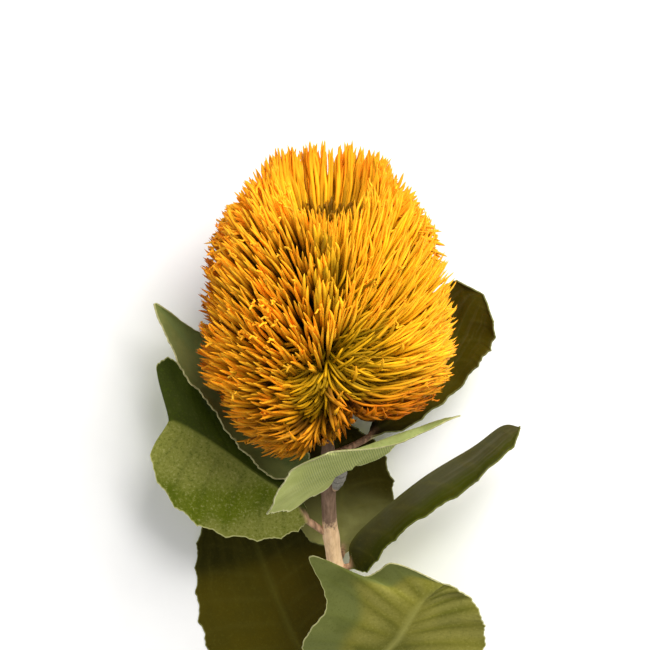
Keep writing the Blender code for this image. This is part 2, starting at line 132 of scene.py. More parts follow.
# Leaf blades
PETIOLE_WIDTH = 2.4
TOOTH_DEPTH = 1.1
TOOTH_DEPTHS = {"leaf_2": 1.4, "leaf_4": 0.5}
TEETH = 10
RAGGED = 0.5
RAGGED_CUT = 1.1
BLADE_CAMBER = 1.2
WAVE_HEIGHT = 0.7
WAVES = 3.5
BLADE_HALF = 0.24
BLADE_ROWS = 160
STALK_ROWS = 8
HALF_COLUMNS = 14
VEIN_PAIRS = 9
VEIN_SLANT = 0.16
VEIN_RELIEF = 0.16
RIB_PITCH = 0.79
RIB_SLANT = 0.25
LEAST_HEIGHT = 0.05
SHARP = math.radians(50.0)

# The guide points are given as the front view shows them, from VIEW_RISE above level: to the
# right of the neck, up in that view, and in front of the stem's axis.
VIEW_RISE = math.radians(22.0)
STEM_PATH = [
    (-1.0, 4.4), (-0.6, -5.0), (-0.5, -20.0), (0.2, -33.0),
    (1.6, -43.0), (4.0, -60.0), (6.0, -82.0), (7.5, -104.8),
]

# Each leaf: where its stalk leaves the stem (up; None where it grows from the bud), where the
# blade starts, its tip, and left, middle and right guide points of the cross-sections between.
LEAVES = {
    "leaf_1": (-16.0, (-8, -14, -8), (-60, 46.5, -12), [
        ((-22, -12.5, 2), (-16, -9, -11), (-8, -5, -20)),
        ((-33, 0, -2), (-25, 4, -17), (-12, 8, -28)),
        ((-45, 16, -3), (-39, 20, -19), (-24, 24, -33)),
        ((-54, 30, -6), (-50.5, 33, -19), (-42, 34, -31)),
    ]),
    "leaf_2": (-35.0, (-8, -29, 1), (-56, 5.5, -9), [
        ((-13, -18, -7), (-15, -20.5, 0), (-12, -32.5, 2)),
        ((-31, -1, -15), (-27, -12, -3), (-24, -35.5, 3)),
        ((-43.5, 13, -17), (-39, -3.5, -6), (-41.5, -32, 3)),
        ((-51, 25, -17), (-49, 2.5, -8), (-55, -22, 1)),
        ((-60, 25, -16), (-54, 5, -9), (-62, -7, -3)),
    ]),
    "leaf_3": (-92.0, (-3, -85, -4), (-38, -22, -20), [
        ((-36, -86, -8), (-11, -76, -8), (4, -68, -8)),
        ((-45, -71, -15), (-18, -61, -14), (4, -54, -12)),
        ((-47.5, -52, -19), (-24, -46, -19), (0, -39, -15)),
        ((-46, -35, -19), (-30, -31, -20), (-11, -26, -18)),
    ]),
    "leaf_4": (-94.0, (9, -88, 4), (39.5, -50.5, 17.5), [
        ((-6, -82, 10), (15, -81, 9), (32, -86, 8)),
        ((-9, -71, 14), (23, -72, 13), (52, -78, 10)),
        ((-1, -58, 17), (26, -67, 15), (54, -67.5, 12)),
        ((-6.5, -40, 21), (29, -62, 16.5), (51, -59, 14)),
        ((12, -48, 17), (32, -57, 17.5), (47, -54.5, 15.5)),
        ((22, -43, 18), (35, -54, 18), (43.5, -52, 16.5)),
    ]),
    "leaf_5": (-47.0, (7.5, -45.5, 1), (66, 3.5, -6), [
        ((11, -39, -5), (7.5, -37, 1), (13.5, -46.5, 4)),
        ((20, -34, -9), (17, -27, -2), (21, -36, 8)),
        ((36, -22, -14), (33, -14, -5), (39, -22.5, 10)),
        ((52, -10, -17), (50, -3.5, -8), (52, -13, 8)),
        ((62, -1, -14), (60, 3.8, -9), (62.5, -3, 2)),
    ]),
    "leaf_6": (None, (5, -9, 12), (-1, -2.5, 60), [
        ((-1, -16, 17), (6, -9, 19), (12, -5, 19)),
        ((-8, -20.5, 26), (7, -9, 31), (24, 1, 32)),
        ((-16, -23, 36), (6, -7, 44), (34, 6, 36)),
        ((-20.5, -23, 44), (3, -5, 53), (41.5, 9.5, 44)),
        ((-13, -9.5, 54), (1, -3.5, 58), (24, 1, 54)),
    ]),
    "leaf_7": (-6.0, (13, 2, -8), (53, 50, -26), [
        ((16, 12, -22), (22, 6, -17), (28, 4, -10)),
        ((24, 26, -34), (34, 20, -26), (42, 15, -16)),
        ((33, 42, -36), (43, 34, -28), (53.5, 28, -18)),
        ((42, 54, -33), (49, 46, -27), (57, 38, -20)),
    ]),
    "leaf_8": (-46.0, (4.5, -41, -6), (2, 10, -30), [
        ((-9, -35, -12), (4, -32, -14), (18, -32, -15)),
        ((-13, -18, -19), (4, -17, -19), (22.3, -20, -19)),
        ((-13, -4, -24), (2, -3, -23), (17, -4, -21)),
        ((-6, 4, -28), (0, 6, -28), (7, 4, -27)),
    ]),
}

# Colour of the styles from root to tip: on the left, on the right and where they are deep in tone and in
# painted shade
# Coarse ramp: its dark brown below the tips is painted shade between the styles, over their olive bodies
STYLE_COARSE = [
    (0.0, (0.04, 0.034, 0.002)), (0.5, (0.075, 0.052, 0.002)), (0.72, (0.16, 0.085, 0.003)),
    (0.81, (0.64, 0.3, 0.007)), (0.9, (1.0, 0.53, 0.022)), (1.0, (1.0, 0.42, 0.014)),
]
STYLE_FINE = [
    (0.0, (0.075, 0.065, 0.001)), (0.34, (0.27, 0.175, 0.001)), (0.58, (0.43, 0.23, 0.002)),
    (0.76, (0.88, 0.46, 0.008)), (0.92, (0.98, 0.51, 0.016)), (1.0, (0.9, 0.34, 0.012)),
]
# Deep ramp: partly a deeper brown tone of the styles, partly painted shade on the sides turned from the
# light
STYLE_DEEP_AND_SHADED = [
    (0.0, (0.03, 0.015, 0.001)), (0.5, (0.075, 0.03, 0.001)), (0.74, (0.24, 0.075, 0.001)),
    (0.9, (0.56, 0.18, 0.003)), (1.0, (0.46, 0.115, 0.002)),
]

# Looks of a leaf's upper face: of all leaves, of the ones in the shade, and of each leaf
LOOK = dict(
    left=(0.09, 0.105, 0.022), right=(0.09, 0.105, 0.022), crease=-0.05, softness=0.17,
    foot=(0.1, 0.11, 0.02), foot_share=0.0, tip=(0.1, 0.11, 0.015), painted_shadow_share=0.0, painted_shadow_along=(0.3, 1.0),
    cloud=(0.055, 0.068, 0.006), pale=(0.26, 0.27, 0.09), speckle=0.25, dim_flecks=1.0,
    sheen=(0.26, 0.27, 0.12), streaks=0.0, sheen_patches=0.0, band=(0.0, 0.0), fold_light_share=0.0,
    vein=(0.24, 0.25, 0.08), veins=0.18, rib=0.28,
    edge=(0.5, 0.49, 0.2), edge_share=0.85, edge_width=1.0,
)
# darker flecks, cloud, veins and edge for the leaves in the shade: painted shade
DIM = dict(
    pale=(0.13, 0.125, 0.02), speckle=0.15, cloud=(0.045, 0.038, 0.002),
    vein=(0.12, 0.11, 0.02), edge=(0.3, 0.29, 0.1), edge_share=0.6,
)
LEAF_LOOKS = {
    "leaf_1": dict(
        left=(0.27, 0.3, 0.09), right=(0.21, 0.27, 0.08), veins=0.05, rib=0.1,
        cloud=(0.12, 0.16, 0.04), edge=(0.74, 0.74, 0.34), edge_width=1.7,
    ),
    "leaf_2": dict(
        # left half: painted shadow cast by leaf_1; right half lit
        left=(0.02, 0.034, 0.001), right=(0.11, 0.14, 0.004), crease=-0.03, softness=0.05,
        speckle=0.7, dim_flecks=0.12, sheen_patches=0.75, band=(1.94, -0.27), fold_light_share=0.15,
        sheen=(0.235, 0.24, 0.05), pale=(0.34, 0.34, 0.11), cloud=(0.065, 0.09, 0.004),
        vein=(0.055, 0.07, 0.01), veins=0.35, edge_width=1.3,
    ),
    "leaf_3": dict(
        DIM, left=(0.06, 0.046, 0.001), right=(0.055, 0.04, 0.001), veins=0.12,
        # upper part of the blade, in the tip colour: painted shadow cast by leaf_2
        painted_shadow_along=(0.56, 0.66), painted_shadow_share=0.8, tip=(0.018, 0.018, 0.001),
        streaks=0.2, sheen=(0.1, 0.085, 0.01),
    ),
    "leaf_4": dict(
        # left lobe: partly its own grey-green, partly painted shade of the lobe folded up from the light
        left=(0.155, 0.175, 0.045), right=(0.215, 0.2, 0.03), crease=-0.55, softness=0.1,
        vein=(0.12, 0.13, 0.012), veins=0.35, rib=0.75, fold_light_share=0.45, dim_flecks=0.1,
        sheen=(0.35, 0.32, 0.085), pale=(0.42, 0.4, 0.11),
    ),
    "leaf_5": dict(
        # upper half grey: painted sheen; lower half green
        DIM, left=(0.058, 0.056, 0.024), right=(0.042, 0.05, 0.001), crease=0.52, softness=0.22,
        streaks=0.4, sheen=(0.115, 0.108, 0.068), foot=(0.01, 0.011, 0.001), foot_share=1.0,
        edge=(0.2, 0.24, 0.03),
    ),
    "leaf_6": dict(left=(0.26, 0.3, 0.1), right=(0.26, 0.3, 0.1)),
    "leaf_7": dict(
        DIM, left=(0.055, 0.042, 0.001), right=(0.065, 0.05, 0.001), foot=(0.012, 0.009, 0.002),
        foot_share=0.95, streaks=0.25, sheen=(0.13, 0.11, 0.05),
    ),
    "leaf_8": dict(
        # blade nearly black: painted shade behind the stem; light foot: painted light with sheen
        DIM, left=(0.024, 0.019, 0.001), right=(0.026, 0.021, 0.001), foot=(0.42, 0.42, 0.14),
        foot_share=0.95, streaks=0.2, sheen=(0.11, 0.1, 0.03),
    ),
}
PALE_EDGE = (0.5, 0.48, 0.22)
# edge colour for the leaves in the shade: painted shade
DIM_EDGE = (0.16, 0.17, 0.035)
DIM_EDGED = ("leaf_3", "leaf_5", "leaf_7", "leaf_8")

# Camera: the photograph's frame, 221 mm wide at the sprig
VIEW_CENTRE = (-1.7, 39.1, 0.0)
VIEW_WIDTH = 221.0
VIEW_DISTANCE = 1000.0
SENSOR = 36.0


def head_half(y):
    """Length and roundness of the half of the envelope, upper or lower, that holds y."""
    if y > HEAD_WIDEST:
        return HEAD_TOP - HEAD_WIDEST, HEAD_POWER
    return HEAD_WIDEST - HEAD_LOW, HEAD_LOW_POWER


def head_radius(y):
    """Radius of the head's envelope at the height y on its axis."""
    reach, power = head_half(y)
    share = min(1.0, abs(y - HEAD_WIDEST) / reach)
    return HEAD_RADIUS * math.sqrt(1.0 - share ** power)


def clear_of_head(point):
    """The point, moved outward from the head's centre where it would lie inside the envelope."""
    centre = Vector((HEAD_SIDE, HEAD_WIDEST, 0.0))
    reach, power = head_half(point.y)
    share = abs(point.y - HEAD_WIDEST) / (reach + HEAD_CLEARANCE)
    radius = math.hypot(point.x - HEAD_SIDE, point.z) / (HEAD_RADIUS + HEAD_CLEARANCE)
    inside = share ** power + radius ** 2
    if inside >= 1.0:
        return point
    return centre + (point - centre) / inside ** (1.0 / power)


def seen(right, up, front):
    """Plant-frame point from its place in the front view and its distance before the axis."""
    y = (up + front * math.sin(VIEW_RISE)) / math.cos(VIEW_RISE)
    return Vector((right, y, front))


def seen_up(point):
    """How high a point stands in the front view."""
    return point.y * math.cos(VIEW_RISE) - point.z * math.sin(VIEW_RISE)


def spoke(turn):
    """Direction away from the plant's axis at a turn from the front."""
    return Vector((math.sin(turn), 0.0, math.cos(turn)))


def on_axis(y, x=0.0):
    """Point at the height y, on the plant's axis or beside it."""
    return Vector((x, y, 0.0))


def scatter(draw, spread=1.0):
    """A random vector."""
    return Vector([draw.gauss(0.0, spread) for _ in range(3)])


def lying_tilt():
    """Tilt and height of the laid-down sprig: head and stem end both on the table."""
    heights = [HEAD_LOW + (HEAD_TOP - HEAD_LOW) * i / 200 for i in range(201)]

    def head_drop(tilt):
        drop = max(head_radius(y) * math.cos(tilt) - y * math.sin(tilt) for y in heights)
        return drop - HEAD_PRESSED

    low, high = 0.0, math.radians(40.0)
    for _ in range(50):
        tilt = 0.5 * (low + high)
        end = head_drop(tilt) + STEM_END * math.sin(tilt) - STEM_RADIUS * math.cos(tilt)
        low, high = (tilt, high) if end > 0.0 else (low, tilt)
    return tilt, head_drop(tilt)


TILT, AXIS_HEIGHT = lying_tilt()
LAY_DOWN = Matrix.Translation((0.0, 0.0, AXIS_HEIGHT)) @ Matrix.Rotation(TILT, 4, "X")


def catmull(points, t):
    """Point at t, from 0 to 1, on a smooth curve through the points."""
    spans = len(points) - 1
    place = min(t * spans, spans - 1e-6)
    i = int(place)
    u = place - i
    longer = [2 * points[0] - points[1], *points, 2 * points[-1] - points[-2]]
    p0, p1, p2, p3 = longer[i:i + 4]
    return 0.5 * (
        2 * p1 + (p2 - p0) * u + (2 * p0 - 5 * p1 + 4 * p2 - p3) * u ** 2
        + (3 * p1 - p0 - 3 * p2 + p3) * u ** 3
    )


def stem_centre(up):
    """Point on the stem's axis at a height of the front view."""
    up = min(STEM_PATH[0][1], max(STEM_PATH[-1][1], up))
    for (x0, up0), (x1, up1) in zip(STEM_PATH, STEM_PATH[1:]):
        if up >= up1:
            break
    share = (up0 - up) / (up0 - up1)
    return seen(x0 + (x1 - x0) * share, up, 0.0)


def stem_radius(up):
    """Radius of the stem at a height of the front view: thin at the neck, swollen at each leaf."""
    roots = [root for root, *_ in LEAVES.values() if root is not None]
    swelling = sum(math.exp(-((up - root) / SWELLING_REACH) ** 2) for root in roots)
    share = min(1.0, max(0.0, (STEM_TOP - up) / NECK_LENGTH))
    return NECK_RADIUS + (STEM_RADIUS - NECK_RADIUS) * share + STEM_SWELLING * swelling


def bud_ends():
    """Lower and upper end of the bud's axis, on the front right of the stem."""
    clear = stem_radius(BUD_FOOT) + BUD_END_RADIUS + FIT_GAP
    return stem_centre(BUD_FOOT) + spoke(BUD_SIDE) * clear, seen(*BUD_TIP)


def bud_radius(t):
    """Radius of the bud at t, from 0 at its foot to 1 at its tip."""
    belly = math.sin(math.pi * (0.06 + 0.86 * t)) ** 0.7
    return max(BUD_END_RADIUS, BUD_RADIUS * belly * (1.0 - 0.25 * t))


def table_shift():
    """How far the solids were moved over the table to centre them: the bud shows it."""
    foot, tip = (LAY_DOWN @ end for end in bud_ends())
    axis = (tip - foot).normalized()
    rings = [(foot.lerp(tip, i / 8), bud_radius(i / 8)) for i in range(9)]
    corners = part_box("bud")
    shift = Vector((0.0, 0.0, 0.0))
    for k in range(2):
        spread = math.sqrt(1.0 - axis[k] ** 2)
        lowest = min(centre[k] - radius * spread for centre, radius in rings)
        highest = max(centre[k] + radius * spread for centre, radius in rings)
        shift[k] = (corners[0][k] + corners[1][k]) / 2.0 / MM - (lowest + highest) / 2.0
    return shift


class Graph:
    """A node material under construction: each call adds one node and returns its output."""

    def __init__(self, name):
        self.material = bpy.data.materials.new(name)
        self.material.use_nodes = True
        self.tree = self.material.node_tree
        self.shader = self.tree.nodes["Principled BSDF"]
        self.place = self.node("TexCoord", "Object", {})

    def put(self, socket, value):
        if isinstance(value, bpy.types.NodeSocket):
            self.tree.links.new(value, socket)
        elif isinstance(value, tuple) and socket.type == "RGBA":
            socket.default_value = (*value[:3], 1.0)
        else:
            socket.default_value = value

    def node(self, kind, output, inputs, **settings):
        node = self.tree.nodes.new(f"ShaderNode{kind}")
        for name, value in settings.items():
            setattr(node, name, value)
        for name, value in inputs.items():
            self.put(node.inputs[name], value)
        return node.outputs[output]

    def attribute(self, name):
        return self.node("Attribute", "Fac", {}, attribute_name=name)

    def stretch(self, scale):
        return self.node("Mapping", "Vector", {"Vector": self.place, "Scale": scale})

    def axis(self, name):
        return self.node("SeparateXYZ", name, {"Vector": self.place})

    def combine(self, x, y, z):
        return self.node("CombineXYZ", "Vector", {"X": x, "Y": y, "Z": z})

    def maths(self, operation, *values):
        return self.node("Math", "Value", dict(enumerate(values)), operation=operation)

    def times(self, first, second):
        return self.maths("MULTIPLY", first, second)

    def plus(self, first, second):
        return self.maths("ADD", first, second)

    def uneven(self, value, cloud, share):
        """The value, moved up and down by a cloud."""
        return self.plus(value, self.times(self.maths("SUBTRACT", cloud, 0.5), share))

    def noise(self, scale, detail=2.0, rough=0.5, vector=None):
        place = self.place if vector is None else vector
        inputs = {"Vector": place, "Scale": scale, "Detail": detail, "Roughness": rough}
        return self.node("TexNoise", "Fac", inputs)

    def span(self, value, low, high, to_low=0.0, to_high=1.0):
        inputs = {"Value": value, "From Min": low, "From Max": high, "To Min": to_low, "To Max": to_high}
        return self.node("MapRange", "Result", inputs, interpolation_type="SMOOTHSTEP")

    def ramp(self, value, stops):
        node = self.tree.nodes.new("ShaderNodeValToRGB")
        self.put(node.inputs["Fac"], value)
        elements = node.color_ramp.elements
        while len(elements) < len(stops):
            elements.new(1.0)
        for element, (place, colour) in zip(elements, stops):
            element.position = place
            element.color = (*colour, 1.0)
        return node.outputs["Color"]

    def mix(self, share, first, second, blend="MIX"):
        # The mix node has its colours at places 6 and 7, and the mixed colour at place 2.
        inputs = {0: share, 6: first, 7: second}
        return self.node("Mix", 2, inputs, data_type="RGBA", blend_type=blend)

    def finish(self, colour, roughness, height=None, depth=0.0, specular=0.4):
        self.put(self.shader.inputs["Base Color"], colour)
        self.put(self.shader.inputs["Roughness"], roughness)
        self.shader.inputs["Specular IOR Level"].default_value = specular
        if height is not None:
            bump = self.node("Bump", "Normal", {"Distance": depth * MM, "Height": height})
            self.put(self.shader.inputs["Normal"], bump)
        return self.material


def style_material():
    """Waxy styles: olive at the root, golden along, orange at the tip, no two quite alike, with painted
    shade on the coarse bodies and in the deep ramp.
    """
    g = Graph("style_look")
    along = g.attribute("along")
    tone = g.attribute("tone")
    golden = g.attribute("golden")
    deep_and_shaded = g.attribute("deep_and_shaded")
    mottle = g.noise(420.0, 3.0)
    place = g.uneven(g.uneven(along, tone, 0.16), mottle, 0.12)
    coarse = g.ramp(place, STYLE_COARSE)
    colour = g.mix(golden, coarse, g.ramp(place, STYLE_FINE))
    # deeper tone and painted shade
    colour = g.mix(deep_and_shaded, colour, g.ramp(place, STYLE_DEEP_AND_SHADED))
    bright = g.span(tone, 0.0, 1.0, 0.78, 1.27)
    colour = g.mix(1.0, colour, g.combine(bright, bright, bright), "MULTIPLY")
    fibres = g.noise(2600.0, vector=g.stretch((1.0, 0.25, 1.0)))
    return g.finish(colour, g.span(mottle, 0.3, 0.7, 0.42, 0.6), fibres, 0.06, 0.1)


def core_material():
    """The head's woody axis between the roots of the styles."""
    g = Graph("core_look")
    grain = g.noise(500.0, 4.0)
    colour = g.ramp(grain, [(0.3, (0.03, 0.022, 0.003)), (0.7, (0.13, 0.1, 0.01))])
    return g.finish(colour, 0.8, grain, 0.6)


def upper_material(name, look):
    """Upper face of a leaf: two halves, on some leaves one in painted shade, veins, a woven speckle, a
    soft painted sheen, painted light on the folds, a painted shadow where one is set, a pale margin.
    """
    g = Graph(name)
    across = g.attribute("across")
    along = g.attribute("along")
    cloud = g.noise(75.0, 3.0)
    weave = g.noise(1000.0, 3.0, 0.75)
    streaks = g.noise(2.2, 4.0, 0.6, g.combine(g.times(across, 4.0), along, 0.0))
    crease = look["crease"]
    soft = look["softness"]
    colour = g.mix(g.span(across, crease - soft, crease + soft), look["left"], look["right"])
    slope, centre = look["band"]
    band = g.maths("SUBTRACT", g.maths("SUBTRACT", across, g.times(along, slope)), centre)
    band = g.maths("ABSOLUTE", g.uneven(band, cloud, 0.5))
    lit = g.span(across, crease - soft, crease + 2.0 * soft, look["dim_flecks"], 1.0)
    # streaks along the blade for painted sheen
    painted_sheen_streaks = g.span(streaks, 0.42, 0.75, 0.0, look["streaks"])
    margin = g.maths("DIVIDE", g.attribute("margin"), look["edge_width"])
    margin = g.plus(margin, g.times(g.noise(900.0), 0.35))
    layers = [
        ("foot", g.span(along, 0.0, 0.45, look["foot_share"], 0.0)),
        # the tip colour over a span of the blade: a painted shadow cast by another leaf
        ("tip", g.span(along, *look["painted_shadow_along"], 0.0, look["painted_shadow_share"])),
        ("cloud", g.span(cloud, 0.42, 0.68, 0.0, 0.45)),
        # painted sheen in streaks along the blade
        ("sheen", g.times(painted_sheen_streaks, g.span(along, 0.2, 0.6))),
        # painted sheen in patches on the lit half, away from the band
        ("sheen", g.times(g.span(band, 0.1, 0.38, 0.0, look["sheen_patches"]), lit)),
        # painted light on the folds between the side veins
        ("sheen", g.times(g.times(g.attribute("fold_light"), look["fold_light_share"]), lit)),
        ("pale", g.times(g.span(weave, 0.52, 0.7, 0.0, look["speckle"]), lit)),
        ("cloud", g.span(weave, 0.48, 0.32, 0.0, look["speckle"])),
        ("vein", g.times(g.attribute("vein"), look["veins"])),
        ("pale", g.times(g.attribute("rib"), look["rib"])),
        ("edge", g.span(margin, 0.34, 0.6, look["edge_share"], 0.0)),
    ]
    for layer, share in layers:
        colour = g.mix(share, colour, look[layer])
    colour = stalk_mix(g, colour)
    height = g.plus(g.times(weave, 0.6), cloud)
    return g.finish(colour, g.span(weave, 0.3, 0.7, 0.5, 0.72), height, 0.1, 0.06)


def stalk_mix(g, colour):
    """The blade's colour, and pinkish beige on the leaf's stalk."""
    streaks = g.noise(900.0, 3.0, vector=g.stretch((1.0, 0.2, 1.0)))
    stalk = g.ramp(streaks, [(0.35, (0.26, 0.15, 0.09)), (0.65, (0.62, 0.38, 0.23))])
    return g.mix(g.attribute("stalk"), colour, stalk)


def under_material():
    """Underside of a leaf: pale, felted, with fine ribs that run along the blade."""
    g = Graph("underside_look")
    slanted = g.plus(g.axis("X"), g.times(g.axis("Y"), RIB_SLANT))
    ribs = g.maths("SINE", g.times(slanted, 2.0 * math.pi / (RIB_PITCH * MM)))
    ribbed = g.span(g.attribute("across"), -0.75, -0.3)
    cloud = g.noise(120.0, 3.0)
    felt = g.noise(1800.0, 2.0, 0.7)
    colour = g.ramp(cloud, [(0.35, (0.47, 0.52, 0.15)), (0.7, (0.61, 0.65, 0.22))])
    dents = g.times(g.span(ribs, 0.1, -0.9), ribbed)
    # grooves between the ribs darker: painted shade in the grooves, beside the bump
    colour = g.mix(g.times(dents, 0.6), colour, (0.2, 0.26, 0.07))
    colour = g.mix(g.span(felt, 0.5, 0.75, 0.0, 0.3), colour, (0.7, 0.72, 0.4))
    colour = g.mix(g.times(g.attribute("vein"), 0.35), colour, (0.6, 0.64, 0.3))
    margin = g.span(g.attribute("margin"), 0.35, 0.85, 0.9, 0.0)
    colour = stalk_mix(g, g.mix(margin, colour, (0.8, 0.79, 0.42)))
    return g.finish(colour, 0.78, g.plus(g.times(dents, -0.8), felt), 0.1, 0.06)


def edge_material(name, pale):
    """The cut edge of a leaf."""
    g = Graph(name)
    cloud = g.noise(700.0)
    colour = g.ramp(cloud, [(0.3, tuple(0.5 * c for c in pale)), (0.7, pale)])
    return g.finish(stalk_mix(g, colour), 0.75, cloud, 0.05)


def bark_material():
    """Bark: grey-brown towards the head, pinkish beige below, streaked along the stem."""
    g = Graph("bark_look")
    streaks = g.noise(1100.0, 4.0, 0.6, g.stretch((1.0, 0.1, 1.0)))
    spots = g.noise(600.0, 3.0, 0.65)
    upper = g.ramp(streaks, [(0.3, (0.17, 0.105, 0.065)), (0.7, (0.33, 0.21, 0.14))])
    lower = g.ramp(streaks, [(0.3, (0.72, 0.46, 0.26)), (0.7, (0.95, 0.68, 0.42))])
    place = g.uneven(g.attribute("along"), spots, 0.14)
    colour = g.mix(g.span(place, 0.37, 0.415), upper, lower)
    colour = g.mix(g.span(spots, 0.58, 0.75, 0.0, 0.35), colour, (0.24, 0.15, 0.1))
    colour = g.mix(g.attribute("cut"), colour, (0.66, 0.5, 0.3))
    return g.finish(colour, 0.8, g.plus(streaks, spots), 0.25, 0.25)


def bud_material():
    """The bud: felted grey scales on a beige foot."""
    g = Graph("bud_look")
    felt = g.noise(1600.0, 3.0, 0.7)
    colour = g.ramp(felt, [(0.3, (0.19, 0.18, 0.155)), (0.7, (0.44, 0.41, 0.35))])
    colour = g.mix(g.attribute("seam"), colour, (0.06, 0.052, 0.04))
    colour = g.mix(g.span(g.attribute("along"), 0.06, 0.14, 1.0, 0.0), colour, (0.6, 0.4, 0.24))
    return g.finish(colour, 0.85, felt, 0.15, 0.2)


def add_object(name, data):
    """A new object in the scene."""
    thing = bpy.data.objects.new(name, data)
    bpy.context.scene.collection.objects.link(thing)
    return thing


def add_piece(name, points, faces, materials, values, node, face_slots=None):
    """A piece from plant-frame points laid on the table, with one value of each kind a point."""
    mesh = bpy.data.meshes.new(name)
    mesh.from_pydata([tuple(p) for p in points], [], faces)
    for material in materials:
        mesh.materials.append(material)
    if face_slots is not None:
        mesh.polygons.foreach_set("material_index", face_slots)
    for kind, numbers in values.items():
        layer = mesh.attributes.new(kind, "FLOAT", "POINT")
        layer.data.foreach_set("value", np.asarray(numbers, dtype=np.float32))
    mesh.shade_smooth()
    mesh.update()
    piece = add_object(name, mesh)
    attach(piece, "root")
    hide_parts(node)
    return piece


def leaf_rails(leaf):
    """Left, middle and right guide curves of a leaf, from its stalk to its tip."""
    stem_up, start, tip, sections = leaf
    start = seen(*start)
    tip = seen(*tip)
    sections = [[clear_of_head(seen(*p)) for p in section] for section in sections]
    root = bud_ends()[1] if stem_up is None else stem_centre(stem_up)
    along = (start - root).normalized()
    if stem_up is not None:
        root += along * (0.6 * STEM_RADIUS)
    across = sections[0][2] - sections[0][0]
    across = (across - along * across.dot(along)).normalized() * (0.5 * PETIOLE_WIDTH)
    rails = []
    for column, push in ((0, -1.0), (1, 0.0), (2, 1.0)):
        stalk = [root + across * push, start + across * push]
        end = [tip + across.normalized() * (0.7 * push)]
        rails.append((stalk, [stalk[1]] + [section[column] for section in sections] + end))
    return rails


def tooth(t):
    """Share of a tooth's depth at t along the margin: points with hollow arcs between them."""
    f = (t * TEETH + 0.5) % 1.0
    return (1.0 - 2.0 * f) ** 2


def leaf_rows(leaf, phase, rough, teeth):
    """Rows of mid-surface points across the leaf, and the values that its looks need there."""
    rails = leaf_rails(leaf)
    shares = [k / HALF_COLUMNS - 1.0 for k in range(2 * HALF_COLUMNS + 1)]
    rows = []
    for i in range(STALK_ROWS):
        left, middle, right = (foot.lerp(top, i / STALK_ROWS) for (foot, top), _ in rails)
        rows.append([
            (middle + ((right if s > 0.0 else left) - middle) * abs(s), s, 0.0, 1.0, 2.0, 0.0, 0.0)
            for s in shares
        ])
    for i in range(BLADE_ROWS + 1):
        t = i / BLADE_ROWS
        left, middle, right = (catmull(blade, t) for _, blade in rails)
        ahead = catmull(rails[1][1], min(1.0, t + 0.02)) - catmull(rails[1][1], max(0.0, t - 0.02))
        swing = math.sin(math.pi * t) ** 0.5
        bite = teeth * tooth(t) + rough * noise.noise(Vector((t * 60.0, phase * 7.0, 0.0)))
        row = []
        for s in shares:
            side = 1.0 if s > 0.0 else -1.0
            span = (right if s > 0.0 else left) - middle
            normal = (ahead.cross(span) * side).normalized()
            share = abs(s)
            wave = math.sin(2.0 * math.pi * WAVES * t + phase + side) * WAVE_HEIGHT * swing
            reach = span * share + span.normalized() * (bite * swing * share)
            lift = BLADE_CAMBER * swing * 4.0 * share * (1.0 - share) + wave * share ** 1.75
            line = (VEIN_PAIRS * (t - VEIN_SLANT * share * (1.0 - 0.4 * share)) + 0.25 * side) % 1.0
            vein = math.exp(-((line - 0.5) / 0.09) ** 2) * min(1.0, 4.0 * share)
            vein *= (1.0 - share) ** 0.4 * swing
            stalk = max(0.0, 1.0 - t / 0.1) * math.exp(-(share * span.length / 1.3) ** 2)
            point = middle + reach + normal * (lift - VEIN_RELIEF * vein)
            # soft bands between the side veins, for painted light on the folds
            fold_light = (0.5 + 0.5 * math.cos(2.0 * math.pi * line)) * swing * min(1.0, 3.0 * share)
            row.append((point, s, t, stalk, (1.0 - share) * span.length, vein, fold_light))
        rows.append(row)
    return rows


